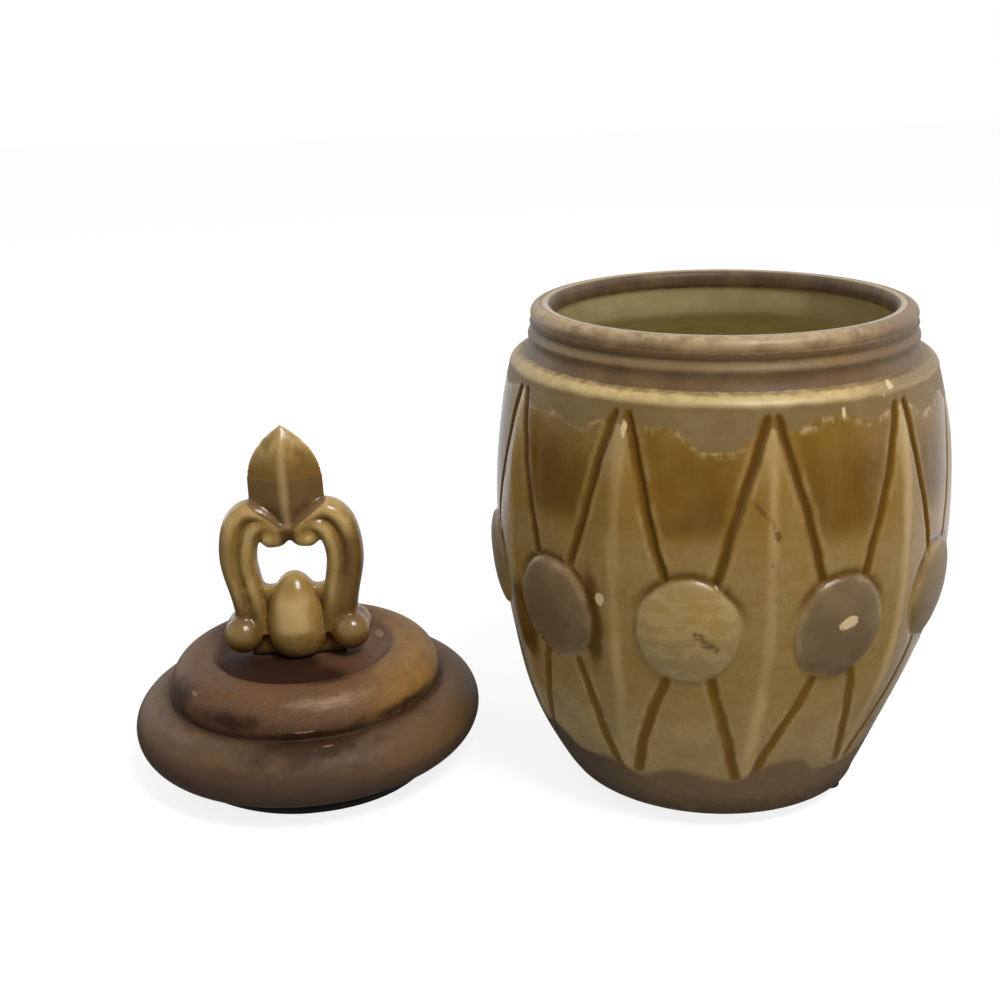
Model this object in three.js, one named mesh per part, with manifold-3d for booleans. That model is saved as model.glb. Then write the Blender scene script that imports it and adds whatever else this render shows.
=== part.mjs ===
import * as THREE from 'three';
import { mergeVertices } from 'three/addons/utils/BufferGeometryUtils.js';
import Module from 'manifold-3d';

const wasm = await Module();
wasm.setup();

// All sizes are in millimetres and all angles in degrees.
// The lid stands on the table beside the jar
const standGap = 9.8;
const lidSetBack = 14.5;
const lidLean = 1;
const pieceGap = 0.3;

// Feet under the jar
const footCount = 3;
const footHeight = 2.6;
const footRadius = 5;
const footEdge = 0.6;
const footInset = 1.6;
const footRingShift = 5;
const footRingTurn = 60;

// Jar wall, heights measured from the underside of the jar
const baseRadius = 52.2;
const heelHeight = 5;
const heelRadius = 64.4;
const heelRound = 0.7;
const bellyRadius = 96.9;
const bellyHeight = 122;
const lowerBow = 1.92;
const upperBow = 2.2;
const shoulderRadius = 89.3;
const shoulderRise = 64;
const ledgeRise = 5.6;
const neckRadius = 80.9;
const neckFlare = 1.7;
const neckHeight = 19.8;
const wallThickness = 5;
const floorThickness = 6;
const floorRound = 6;
const wallSag = 3;
const sagHeight = 34;
const sagSpread = 30;

// Mouth: a rolled lip over a shallow groove, with a land inside for the lid
const lipInset = 1;
const lipWidth = 8.4;
const lipDepth = 7;
const lipRoll = 3.6;
const neckGrooveDepth = 1.4;
const neckGrooveHeight = 4;
const mouthStep = 0.9;
const mouthLandDepth = 7;
const mouthEdge = 1.6;
const landStep = 1.4;

// Relief on the wall: round bosses, hourglass grooves and ridged lozenges
const motifCount = 10;
const motifTurn = -14.5;
const motifDrop = 1.2;
const bossRadius = 21.3;
const bossHeight = 101;
const bossRise = 4.2;
const bossStep = 0.9;
const bossDome = 3;
const bossRoot = 7;
const grooveWidth = 3.6;
const grooveDepth = 1.3;
const grooveTopDrop = 2;
const grooveBottomHeight = 23;
const grooveMeetAngle = 6.5;
const grooveMeetRise = 18;
const ridgeRise = 1.1;
const ridgeFade = 30;

// Lid, heights measured from the table
const skirtDepth = 11.3;
const skirtTaper = 8.4;
const skirtEdge = 1;
const lidWall = 5.5;
const brimRoll = 13.9;
const brimInset = 5.2;
const creaseInset = 6;
const tierInset = 18.3;
const tierRise = 18;
const tierRollWidth = 14.4;
const tierRollHeight = 14;
const dishDrop = 5;
const dishInset = 12.5;
const moundInset = 21.5;
const moundRise = 0.8;

// Finial, heights measured from its own foot
const finialShift = -1.9;
const eggRadius = 14.2;
const eggBellyHeight = 14;
const eggHeight = 40;
const ballRadius = 8.9;
const ballSpread = 24.6;
const ballDepth = 4.2;
const ballLift = 2.6;
const rollRadius = 4.7;
const rollDepth = 7.2;
const armFootHeight = 8;
const armBowHeight = 46;
const armBow = 28;
const armTuck = 2.8;
const rollSpacing = 7.6;
const archRise = 20;
const curlDrop = 10;
const curlSpread = 9.5;
const curlRadius = 4.5;
const curlEndProud = 0.5;
const webThickness = 7;
const webHeight = 33;
const webRise = 4;
const knotRadius = 6.5;
const budSink = 4;
const budFlare = 11.5;
const budSwell = 4;
const budTaper = 31.5;
const budHalfWidth = 17.2;
const budKeelDepth = 9;
const budPointWidth = 0.14;

// Heights and radii that follow from the sizes above
const shoulderHeight = bellyHeight + shoulderRise;
const ledgeHeight = shoulderHeight + ledgeRise;
const jarHeight = ledgeHeight + neckHeight;
const grooveTopHeight = shoulderHeight - grooveTopDrop;
const ridgeAngle = 180 / motifCount;
const lipRadius = neckRadius - lipInset;
const mouthRadius = lipRadius - lipWidth;
const mouthLandRadius = mouthRadius - mouthStep;
const brimRingRadius = mouthLandRadius - brimInset;
const brimRingHeight = skirtDepth + brimRoll;
const skirtRadius = brimRingRadius - skirtTaper;
const creaseRadius = brimRingRadius - creaseInset;
const tierRingRadius = brimRingRadius - tierInset;
const tierRingHeight = brimRingHeight + tierRise;
const dishRadius = tierRingRadius - dishInset;
const moundRadius = tierRingRadius - moundInset;
const dishHeight = tierRingHeight + tierRollHeight - dishDrop;
const moundHeight = dishHeight + moundRise;
const lidAxisX = -(bellyRadius + standGap + brimRingRadius + brimRoll);
const archHeight = armBowHeight + archRise;
const curlHeight = archHeight - curlDrop;
const budPointHeight = archHeight - budSink;
const budShoulderHeight = budPointHeight + budFlare;
const budWideHeight = budShoulderHeight + budSwell;
const budTipHeight = budWideHeight + budTaper;

const radians = THREE.MathUtils.degToRad;
const degrees = THREE.MathUtils.radToDeg;
const lerp = THREE.MathUtils.lerp;
const smoothstep = THREE.MathUtils.smoothstep;

function solidOf(geometry) {
  const bare = geometry.clone();
  bare.deleteAttribute('normal');
  bare.deleteAttribute('uv');
  const welded = mergeVertices(bare, 1e-4);
  return new wasm.Manifold(new wasm.Mesh({
    numProp: 3,
    vertProperties: new Float32Array(welded.attributes.position.array),
    triVerts: new Uint32Array(welded.index.array),
  }));
}

function geometryOf(solid) {
  const mesh = solid.getMesh();
  const geometry = new THREE.BufferGeometry();
  geometry.setAttribute('position', new THREE.BufferAttribute(new Float32Array(mesh.vertProperties), 3));
  geometry.setIndex(new THREE.BufferAttribute(new Uint32Array(mesh.triVerts), 1));
  return geometry;
}

function unionOf(solids) {
  return solids.reduce((whole, piece) => whole.add(piece));
}

// A body through rings of equal count, bottom ring first, closed by a fan at each end
function ringBody(rings) {
  const count = rings[0].length;
  const points = rings.flat();
  const faces = [];
  for (let row = 0; row < rings.length - 1; row += 1) {
    for (let side = 0; side < count; side += 1) {
      const next = (side + 1) % count;
      const low = row * count;
      const high = low + count;
      faces.push(low + side, low + next, high + next);
      faces.push(low + side, high + next, high + side);
    }
  }
  const lastRow = (rings.length - 1) * count;
  const bottom = points.length;
  const top = bottom + 1;
  for (const ring of [rings[0], rings[rings.length - 1]]) {
    const middle = new THREE.Vector3();
    ring.forEach((corner) => middle.add(corner));
    points.push(middle.divideScalar(count));
  }
  for (let side = 0; side < count; side += 1) {
    const next = (side + 1) % count;
    faces.push(bottom, next, side);
    faces.push(top, lastRow + side, lastRow + next);
  }
  const geometry = new THREE.BufferGeometry().setFromPoints(points);
  geometry.setIndex(faces);
  return solidOf(geometry);
}

function circleRing(radius, height, middleX, sides) {
  const ring = [];
  for (let side = 0; side < sides; side += 1) {
    const turn = side / sides * 2 * Math.PI;
    ring.push(new THREE.Vector3(middleX + radius * Math.cos(turn), radius * Math.sin(turn), height));
  }
  return ring;
}

// A turned body from a profile of radius and height points, listed from the bottom up
function turnedBody(profile, sides) {
  const geometry = new THREE.LatheGeometry(profile, sides);
  geometry.rotateX(Math.PI / 2);
  return solidOf(geometry);
}

function point(radius, height) {
  return new THREE.Vector2(radius, height);
}

// Points on the arc of a roll, angles counted from straight outward
function rollArc(middleRadius, middleHeight, halfWidth, halfHeight, fromAngle, toAngle, steps) {
  const arc = [];
  for (let step = 0; step <= steps; step += 1) {
    const angle = radians(lerp(fromAngle, toAngle, step / steps));
    arc.push(point(middleRadius + halfWidth * Math.cos(angle), middleHeight + halfHeight * Math.sin(angle)));
  }
  return arc;
}

function ball(acrossX, acrossY, acrossZ, sides, rows) {
  return solidOf(new THREE.SphereGeometry(1, sides, rows)).scale([acrossX, acrossY, acrossZ]);
}

// Jar wall outline: a belly that narrows to the heel below and to the shoulder above
function wallRadius(height) {
  if (height < heelHeight) {
    return baseRadius + (heelRadius - baseRadius) * (height / heelHeight) ** heelRound;
  }
  if (height < bellyHeight) {
    const below = (bellyHeight - height) / (bellyHeight - heelHeight);
    return bellyRadius - (bellyRadius - heelRadius) * below ** lowerBow;
  }
  const above = (height - bellyHeight) / shoulderRise;
  return bellyRadius - (bellyRadius - shoulderRadius) * above ** upperBow;
}

// How far the lozenge ridge stands out from the mean wall, and the panels beside it stand back
function ridgeRelief(height) {
  const fadeLow = smoothstep(height, grooveBottomHeight, bossHeight - grooveMeetRise);
  const fadeHigh = 1 - smoothstep(height, grooveTopHeight - ridgeFade, shoulderHeight);
  return ridgeRise * fadeLow * fadeHigh;
}

// The lower wall sags a little to the left, as it left the mould
function sideSag(height) {
  const spread = (height - sagHeight) / sagSpread;
  return -wallSag * Math.exp(-spread * spread) * smoothstep(height, 0, heelHeight * 2);
}

// The pattern runs slightly lower towards the right, and level at the heel and the shoulder
function patternShift(turn, height) {
  const fadeLow = smoothstep(height, heelHeight, bossHeight);
  const fadeHigh = 1 - smoothstep(height, bossHeight, shoulderHeight);
  return -motifDrop * Math.cos(turn) * fadeLow * fadeHigh;
}

// Angle between a boss and the groove beside it: the grooves cross over as an hourglass
function grooveAngle(height, halfGroove) {
  const upperMeet = bossHeight + grooveMeetRise;
  const lowerMeet = bossHeight - grooveMeetRise;
  const rise = (height - upperMeet) / (grooveTopHeight - upperMeet);
  const fall = (lowerMeet - height) / (lowerMeet - grooveBottomHeight);
  const spread = THREE.MathUtils.clamp(Math.max(rise, fall), 0, 1);
  return lerp(grooveMeetAngle, ridgeAngle - 1.2 * halfGroove, spread);
}

// One ring of the wall: twelve corners per motif, with a notch where each groove runs
function wallRing(height) {
  const mean = wallRadius(height);
  const relief = ridgeRelief(height);
  const halfGroove = degrees(grooveWidth / 2 / mean);
  const groove = grooveAngle(height, halfGroove);
  const inPattern = height >= grooveBottomHeight && height <= grooveTopHeight;
  const depth = inPattern ? grooveDepth : 0;
  const half = [
    [0, mean - relief],
    [(groove - halfGroove) / 2, mean - relief],
    [groove - halfGroove, mean - relief],
    [groove, mean - relief - depth],
    [groove + halfGroove, mean - relief],
    [(groove + halfGroove + ridgeAngle) / 2, mean],
    [ridgeAngle, mean + relief],
  ];
  const otherHalf = half.slice(1, -1).reverse().map(([angle, radius]) => [2 * ridgeAngle - angle, radius]);
  const ring = [];
  for (let index = 0; index < motifCount; index += 1) {
    const start = motifTurn - 90 + index * 2 * ridgeAngle;
    for (const [angle, radius] of half.concat(otherHalf)) {
      const turn = radians(start + angle);
      const corner = new THREE.Vector3(radius * Math.cos(turn), radius * Math.sin(turn), height);
      corner.x += sideSag(height);
      corner.z += patternShift(turn, height);
      ring.push(corner);
    }
  }
  return ring;
}

// Heights of the wall rings: heel, lower grooves, upper grooves, shoulder
function wallHeights() {
  const lowerMeet = bossHeight - grooveMeetRise;
  const upperMeet = bossHeight + grooveMeetRise;
  const heights = [0, heelHeight * 0.3, heelHeight, lerp(heelHeight, grooveBottomHeight, 0.5)];
  for (let step = 0; step <= 3; step += 1) {
    heights.push(lerp(grooveBottomHeight, lowerMeet, step / 3));
  }
  for (let step = 0; step <= 4; step += 1) {
    heights.push(lerp(upperMeet, grooveTopHeight, step / 4));
  }
  heights.push(shoulderHeight);
  return heights;
}

// The wall, with its shoulder rounded in to the neck as a quarter of an oval
function makeWall() {
  const rings = wallHeights().map(wallRing);
  const shoulder = rings[rings.length - 1];
  for (const turn of [30, 60, 90]) {
    const height = shoulderHeight + ledgeRise * Math.sin(radians(turn));
    rings.push(shoulder.map((corner) => {
      const reach = Math.hypot(corner.x, corner.y);
      const radius = lerp(neckRadius + neckFlare, reach, Math.cos(radians(turn)));
      return new THREE.Vector3(corner.x * radius / reach, corner.y * radius / reach, height);
    }));
  }
  return ringBody(rings);
}

// The upright neck with a shallow groove under its rolled lip
function makeNeck() {
  const lipLow = jarHeight - lipDepth;
  const neckFoot = shoulderHeight;
  const lipMiddle = (lipRadius + mouthRadius) / 2;
  const flareTop = ledgeHeight + neckFlare * 3;
  const profile = [point(0, neckFoot), point(neckRadius + neckFlare, neckFoot)];
  profile.push(point(neckRadius + neckFlare, ledgeHeight), point(neckRadius + neckFlare / 4, flareTop));
  profile.push(point(neckRadius, lipLow - neckGrooveHeight));
  profile.push(point(neckRadius - neckGrooveDepth, lipLow - neckGrooveHeight / 2));
  profile.push(point(lipRadius - neckGrooveDepth / 2, lipLow));
  profile.push(...rollArc(lipMiddle, jarHeight - lipRoll, lipRadius - lipMiddle, lipRoll, -10, 90, 5));
  profile.push(point(0, jarHeight));
  return turnedBody(profile, 60);
}

// The hollow inside: a space that follows the wall, and a narrower land under the mouth
function makeJarHollow() {
  const sides = 40;
  const landLow = jarHeight - mouthLandDepth;
  const neckInside = mouthLandRadius + landStep;
  const rings = [circleRing(wallRadius(floorThickness) - wallThickness - floorRound, floorThickness, 0, sides)];
  for (let step = 0; step <= 7; step += 1) {
    const height = lerp(floorThickness + floorRound, shoulderHeight - wallThickness, step / 7);
    rings.push(circleRing(wallRadius(height) - wallThickness - grooveDepth, height, sideSag(height), sides));
  }
  rings.push(circleRing(neckInside + landStep, ledgeHeight - wallThickness / 2, 0, sides));
  rings.push(circleRing(neckInside, ledgeHeight + landStep, 0, sides));
  rings.push(circleRing(neckInside, landLow - landStep / 2, 0, sides));
  rings.push(circleRing(mouthLandRadius, landLow, 0, sides));
  rings.push(circleRing(mouthLandRadius, jarHeight - mouthEdge * 2, 0, sides));
  rings.push(circleRing(mouthRadius, jarHeight - mouthEdge / 2, 0, sides));
  rings.push(circleRing(mouthRadius + mouthEdge, jarHeight, 0, sides));
  rings.push(circleRing(mouthRadius + mouthEdge, jarHeight + mouthEdge, 0, sides));
  return ringBody(rings);
}

// Radius of the wall without its grooves, at an angle from the nearest boss
function panelRadius(angle, height) {
  const mean = wallRadius(height);
  const groove = grooveAngle(height, degrees(grooveWidth / 2 / mean));
  const toRidge = Math.max(angle - groove, 0) / (ridgeAngle - groove);
  return mean + ridgeRelief(height) * (2 * toRidge - 1);
}

// One ring of a boss: a circle laid on the curved wall and lifted off it
function bossRing(turn, size, lift) {
  const corners = 24;
  const ring = [];
  for (let corner = 0; corner < corners; corner += 1) {
    const around = corner / corners * 2 * Math.PI;
    const angle = degrees(size * Math.cos(around) / bellyRadius);
    const height = bossHeight + size * Math.sin(around);
    const radius = panelRadius(Math.abs(angle), height) + lift;
    const place = radians(turn + angle);
    const rise = patternShift(place, height);
    ring.push(new THREE.Vector3(radius * Math.cos(place), radius * Math.sin(place), height + rise));
  }
  return ring;
}

// A round boss: a low dome on the curved wall, with a small step at its edge and its root sunk in
function makeBoss(turn) {
  const steps = 6;
  const rings = [bossRing(turn, bossRadius, -bossRoot)];
  for (let step = 0; step < steps; step += 1) {
    const part = Math.cos(step / steps * Math.PI / 2);
    const lift = bossStep + (bossRise - bossStep) * (1 - part ** bossDome);
    rings.push(bossRing(turn, bossRadius * part, lift));
  }
  return ringBody(rings);
}

function makeBosses() {
  const turns = Array.from({ length: motifCount }, (_, index) => motifTurn - 90 + index * 2 * ridgeAngle);
  return turns.map(makeBoss);
}

function makeJarBody() {
  const outside = unionOf([makeWall(), makeNeck(), ...makeBosses()]);
  return outside.subtract(makeJarHollow()).translate([0, 0, footHeight]);
}

// A low round foot with a softened lower edge; the three are set on a ring of their own
function makeFoot(index) {
  const top = footHeight - pieceGap;
  const profile = [point(0, 0), point(footRadius - footEdge, 0), point(footRadius, footEdge)];
  profile.push(point(footRadius, top), point(0, top));
  const ringRadius = baseRadius - footInset;
  const ringTurn = radians(footRingTurn - 90);
  const turn = ringTurn + index / footCount * 2 * Math.PI;
  const x = footRingShift * Math.cos(ringTurn) + ringRadius * Math.cos(turn);
  const y = footRingShift * Math.sin(ringTurn) + ringRadius * Math.sin(turn);
  return turnedBody(profile, 20).translate([x, y, 0]);
}

// The lid leans slightly where it stands: its skirt is ground level with the table
function standLid(solid) {
  const ground = skirtRadius * Math.sin(radians(lidLean));
  const standing = solid.rotate([0, -lidLean, 0]).trimByPlane([0, 0, 1], ground);
  return standing.translate([lidAxisX, lidSetBack, -ground]);
}

// Outside of the lid: a tapered skirt, a fat rolled brim, a smaller tier and a low mound in a dish
function makeLidOutside() {
  const brim = [point(0, 0), point(skirtRadius - skirtEdge, 0), point(skirtRadius, skirtEdge)];
  brim.push(point(skirtRadius + skirtTaper / 2, skirtDepth / 2));
  brim.push(...rollArc(brimRingRadius, brimRingHeight, brimRoll, brimRoll, -100, 130, 12));
  brim.push(point(0, brimRingHeight + brimRoll / 2));
  const tier = [point(0, brimRingHeight)];
  tier.push(...rollArc(tierRingRadius, tierRingHeight, tierRollWidth, tierRollHeight, -45, 112, 9));
  tier.push(point(dishRadius, dishHeight), point(moundRadius + moundRise * 2, dishHeight));
  tier.push(point(moundRadius, moundHeight), point(0, moundHeight));
  return unionOf([turnedBody(brim, 48), turnedBody(tier, 48)]);
}

// Hollow of the lid: open at the skirt, swelling into the brim and rising under the tier
function makeLidHollow() {
  const ceiling = dishHeight - lidWall;
  const hollowRoll = brimRoll - lidWall;
  const mouth = skirtRadius - lidWall;
  const profile = [point(0, -skirtEdge), point(mouth, -skirtEdge), point(mouth, skirtEdge)];
  profile.push(point(mouth + skirtTaper / 2, skirtDepth * 0.7));
  profile.push(...rollArc(brimRingRadius - skirtEdge, brimRingHeight, hollowRoll, hollowRoll, -70, 100, 6));
  profile.push(point(creaseRadius - lidWall * 1.3, tierRingHeight - lidWall));
  profile.push(point(tierRingRadius + lidWall / 2, ceiling - lidWall / 2));
  profile.push(point(tierRingRadius - lidWall, ceiling), point(0, ceiling));
  return turnedBody(profile, 48);
}

function makeLidShell() {
  return standLid(makeLidOutside().subtract(makeLidHollow()));
}

// One roll of an arm: an oval section drawn along a curve in the plane of the finial
function makeRoll(corners, steps) {
  const path = new THREE.CatmullRomCurve3(corners.map(([x, z]) => new THREE.Vector3(x, 0, z)));
  const section = new THREE.Shape();
  section.absellipse(0, 0, rollDepth, rollRadius, 0, Math.PI * 2, false, 0);
  const geometry = new THREE.ExtrudeGeometry(section, { steps, curveSegments: 5, extrudePath: path });
  return solidOf(geometry);
}

// The outer roll of an arm bows out from the balls and arches over to the bud
function makeOuterRoll(side) {
  return makeRoll([
    [side * (armBow - 2.3 * armTuck), armFootHeight],
    [side * (armBow - 1.3 * armTuck), armBowHeight * 0.6],
    [side * armBow, armBowHeight],
    [side * (armBow - 0.7 * armTuck), archHeight - rollRadius],
    [side * (armBow - 2.8 * armTuck), archHeight + armTuck],
    [side * (armBow - 5.5 * armTuck), archHeight + armTuck],
    [side * (armBow - 9 * armTuck), archHeight - 2 * armTuck],
  ], 18);
}

// The inner roll follows it and ends in a curl under the bud
function makeInnerRoll(side) {
  const bow = armBow - rollSpacing;
  return makeRoll([
    [side * (bow - 1.6 * armTuck), armFootHeight + armTuck],
    [side * (bow - armTuck), armBowHeight * 0.6],
    [side * bow, armBowHeight],
    [side * (bow - armTuck), curlHeight + curlRadius / 2],
    [side * (curlSpread + armTuck), curlHeight + curlRadius + armTuck],
    [side * (curlSpread - curlRadius), curlHeight + curlRadius + 1],
    [side * (curlSpread - curlRadius), curlHeight + 1],
    [side * (curlSpread - 1), curlHeight + 1],
  ], 20);
}

function makeCurlEnd(side) {
  const endRadius = rollRadius + curlEndProud;
  const end = ball(endRadius, rollDepth + curlEndProud, endRadius, 14, 10);
  return end.translate([side * (curlSpread - 1), 0, curlHeight + 1]);
}

// The egg between the arms: round below, drawn to a soft point above
function makeEgg() {
  const steps = 11;
  const profile = [point(0, 0)];
  for (let step = 0; step <= steps; step += 1) {
    const height = eggHeight * step / steps;
    const below = (eggBellyHeight - height) / (eggBellyHeight * 1.26);
    const above = Math.min((height - eggBellyHeight) / (eggHeight - eggBellyHeight), 1);
    const part = height < eggBellyHeight ? Math.sqrt(1 - below * below) : Math.sqrt(1 - above ** 1.5);
    profile.push(point(eggRadius * part, height));
  }
  return turnedBody(profile, 22);
}

// Two balls at each end of the foot, one towards each face
function makeBalls() {
  const balls = [];
  for (const side of [-1, 1]) {
    for (const face of [-1, 1]) {
      const middle = [side * ballSpread, face * ballDepth, ballRadius + ballLift];
      balls.push(ball(ballRadius, ballRadius, ballRadius, 14, 9).translate(middle));
    }
  }
  return balls;
}

// One ring of the bud: a four-sided section with a keel towards each face
function budRing(height) {
  const corners = 12;
  const above = Math.max(height - budWideHeight, 0) / budTaper;
  const below = Math.max(budShoulderHeight - height, 0) / budFlare;
  const taper = 1 - above ** 2.8;
  const halfWidth = budHalfWidth * taper * (1 - (1 - budPointWidth) * below);
  const halfDepth = budKeelDepth * taper * (1 - 0.3 * below);
  const ring = [];
  for (let corner = 0; corner < corners; corner += 1) {
    const across = Math.cos(corner / corners * 2 * Math.PI);
    const out = Math.sin(corner / corners * 2 * Math.PI);
    const fill = (Math.abs(across) + Math.abs(out)) ** -0.8;
    ring.push(new THREE.Vector3(halfWidth * across * fill, halfDepth * out * fill, height));
  }
  return ring;
}

// The spear-shaped bud, from its lower point to its tip
function makeBud() {
  const heights = [0, 1 / 3, 2 / 3, 1].map((part) => lerp(budPointHeight, budShoulderHeight, part));
  const steps = 8;
  for (let step = 0; step <= steps; step += 1) {
    heights.push(budWideHeight + (budTaper - pieceGap) * Math.sin(step / steps * Math.PI / 2));
  }
  return ringBody(heights.map(budRing));
}

// The thin web that fills the foot of the finial between the egg and the arms
function makeWeb() {
  const halfFoot = ballSpread - armTuck;
  const halfTop = armBow - rollSpacing - armTuck;
  const outline = new THREE.Shape();
  outline.moveTo(-halfFoot, 0);
  outline.lineTo(halfFoot, 0);
  outline.lineTo(halfTop, webHeight + webRise);
  outline.quadraticCurveTo(halfTop / 2, webHeight - webRise, webRise, webHeight + webRise);
  outline.lineTo(-webRise, webHeight + webRise);
  outline.quadraticCurveTo(-halfTop / 2, webHeight - webRise, -halfTop, webHeight + webRise);
  outline.closePath();
  const settings = { depth: webThickness, bevelEnabled: false, curveSegments: 5 };
  const geometry = new THREE.ExtrudeGeometry(outline, settings);
  geometry.rotateX(Math.PI / 2);
  geometry.translate(0, webThickness / 2, 0);
  return solidOf(geometry);
}

// The knot where the two curls and the point of the bud meet
function makeKnot() {
  return ball(knotRadius, knotRadius, knotRadius, 14, 9).translate([0, 0, curlHeight + knotRadius - 1]);
}

function makeFinial() {
  const pieces = [makeEgg(), ...makeBalls(), makeBud(), makeWeb(), makeKnot()];
  for (const side of [-1, 1]) {
    pieces.push(makeOuterRoll(side), makeInnerRoll(side), makeCurlEnd(side));
  }
  const whole = unionOf(pieces).trimByPlane([0, 0, 1], 0);
  return standLid(whole.translate([finialShift, 0, moundHeight + pieceGap]));
}

function addPiece(group, name, solid, color, roughness) {
  const material = new THREE.MeshStandardMaterial({ color, roughness, metalness: 0 });
  const mesh = new THREE.Mesh(geometryOf(solid), material);
  mesh.name = name;
  group.add(mesh);
}

// The origin lies on the table, under the middle of the jar and the lid together
function centreOnTable(group) {
  const middle = new THREE.Box3().setFromObject(group).getCenter(new THREE.Vector3());
  group.children.forEach((mesh) => mesh.geometry.translate(-middle.x, -middle.y, 0));
}

const vase = new THREE.Group();
vase.name = 'lidded_vase';
addPiece(vase, 'jar_body', makeJarBody(), 0x8a6a3a, 0.3);
['foot_front_right', 'foot_back', 'foot_front_left'].forEach((name, index) => {
  addPiece(vase, name, makeFoot(index), 0x1c1815, 0.8);
});
addPiece(vase, 'lid_shell', makeLidShell(), 0x5b4028, 0.55);
addPiece(vase, 'finial', makeFinial(), 0xa07a38, 0.25);
centreOnTable(vase);

export default vase;
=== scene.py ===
import math

import bmesh
import bpy
import numpy as np
from mathutils import Matrix, Vector


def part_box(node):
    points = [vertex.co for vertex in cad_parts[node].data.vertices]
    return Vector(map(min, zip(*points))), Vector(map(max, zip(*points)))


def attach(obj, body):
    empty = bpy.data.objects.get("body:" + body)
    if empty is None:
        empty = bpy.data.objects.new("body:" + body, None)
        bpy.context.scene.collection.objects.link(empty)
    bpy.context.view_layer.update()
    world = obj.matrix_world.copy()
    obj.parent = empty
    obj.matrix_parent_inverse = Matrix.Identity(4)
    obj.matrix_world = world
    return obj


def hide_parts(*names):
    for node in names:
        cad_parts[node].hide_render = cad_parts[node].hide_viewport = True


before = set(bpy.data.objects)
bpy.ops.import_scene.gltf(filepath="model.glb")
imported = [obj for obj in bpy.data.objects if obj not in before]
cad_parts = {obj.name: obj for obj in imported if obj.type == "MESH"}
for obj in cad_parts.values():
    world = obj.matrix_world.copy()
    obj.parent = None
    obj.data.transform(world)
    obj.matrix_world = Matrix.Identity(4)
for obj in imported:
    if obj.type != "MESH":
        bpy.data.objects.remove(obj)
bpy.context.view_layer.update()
print("frame loaded:", len(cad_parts), "nodes")

mm = 0.001
fullTurn = 2 * math.pi
tiny = 1e-6


# Small helpers

def smooth(value, low, high):  # 0 below low, 1 above high, eased between
    t = np.clip((value - low) / (high - low), 0, 1)
    return t * t * (3 - 2 * t)


def turnedFrom(azimuth, middle):  # degrees from the middle, from -180 to 180
    return (azimuth - middle + 180) % 360 - 180


def arc(middle, halfWidth, halfHeight, fromAngle, toAngle, steps):  # points on an oval, angles from outward
    angles = np.radians(np.linspace(fromAngle, toAngle, steps + 1))
    return [(middle[0] + halfWidth * math.cos(a), middle[1] + halfHeight * math.sin(a)) for a in angles]


def spaced(points, gap):  # the same line with points no further apart than gap
    line = [points[0]]
    for start, end in zip(points, points[1:]):
        parts = max(1, math.ceil(math.dist(start, end) / gap))
        for part in range(1, parts + 1):
            line.append(tuple(np.array(start) + (np.array(end) - np.array(start)) * part / parts))
    return line


def spinOutline(outline, turns):  # turned body from (radius, height) points: a grid rolled up round the axis
    bm = bmesh.new()
    row = bm.verts.layers.int.new("row")
    last = len(outline) - 1
    bmesh.ops.create_grid(bm, x_segments=turns, y_segments=last, size=1)
    for vert in bm.verts:
        index = round((vert.co.y + 1) / 2 * last)
        vert[row] = index
        radius, height = outline[index]
        turn = vert.co.x * math.pi
        vert.co = (radius * math.cos(turn), radius * math.sin(turn), height)
    bmesh.ops.remove_doubles(bm, verts=bm.verts, dist=1e-5)
    bmesh.ops.recalc_face_normals(bm, faces=bm.faces)
    return bm


def toMesh(bm, name):
    mesh = bpy.data.meshes.new(name)
    bm.to_mesh(mesh)
    bm.free()
    return mesh


def absorb(bm, mesh):
    bm.from_mesh(mesh)
    bpy.data.meshes.remove(mesh)


def addObject(name, data):
    thing = bpy.data.objects.new(name, data)
    bpy.context.scene.collection.objects.link(thing)
    return thing


def makePiece(name, bm, body, slot, material, *replaced):  # bm is in mm, in its final place
    bmesh.ops.scale(bm, vec=(mm, mm, mm), verts=bm.verts)
    mesh = toMesh(bm, name)
    mesh.shade_smooth()
    mesh.materials.append(material)
    piece = addObject(name, mesh)
    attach(piece, body)
    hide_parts(*replaced)
    print("made", name, len(mesh.polygons), "faces")
    return piece


def placesOf(bm):  # the x, y and z of all its points
    return np.array([vert.co for vert in bm.verts]).T


def addAttributes(piece, fields):
    for name, values in fields.items():
        attribute = piece.data.attributes.new(name, "FLOAT", "POINT")
        attribute.data.foreach_set("value", np.asarray(values, np.float32))


# Shader helpers; in a recipe every pattern is a named value, and these mask the coats of colour

def linearColour(hexCode):  # sRGB hex to the linear values that shaders take
    parts = [int(hexCode[i:i + 2], 16) / 255 for i in (1, 3, 5)]
    return tuple(c / 12.92 if c <= 0.04045 else ((c + 0.055) / 1.055) ** 2.4 for c in parts) + (1.0,)


def perMetre(size):  # texture scale for a pattern whose features are this many mm
    return 1000 / size


def addNode(tree, kind, links=None, **settings):
    node = tree.nodes.new(kind)
    for name, value in settings.items():
        setattr(node, name, value)
    for socket, value in (links or {}).items():
        if isinstance(value, bpy.types.NodeSocket):
            tree.links.new(value, node.inputs[socket])
        else:
            node.inputs[socket].default_value = value
    return node


def addMath(tree, operation, *inputs):
    return addNode(tree, "ShaderNodeMath", dict(enumerate(inputs)), operation=operation).outputs[0]


def addRamp(tree, source, low, high, atLow=0.0, atHigh=1.0, kind="SMOOTHSTEP"):
    links = {"Value": source, "From Min": low, "From Max": high, "To Min": atLow, "To Max": atHigh}
    return addNode(tree, "ShaderNodeMapRange", links, interpolation_type=kind).outputs[0]


def addEmission(tree, strength):
    return addNode(tree, "ShaderNodeEmission", {"Strength": strength}).outputs[0]


def mixShaders(tree, factor, first, second):
    return addNode(tree, "ShaderNodeMixShader", {0: factor, 1: first, 2: second}).outputs[0]


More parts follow.
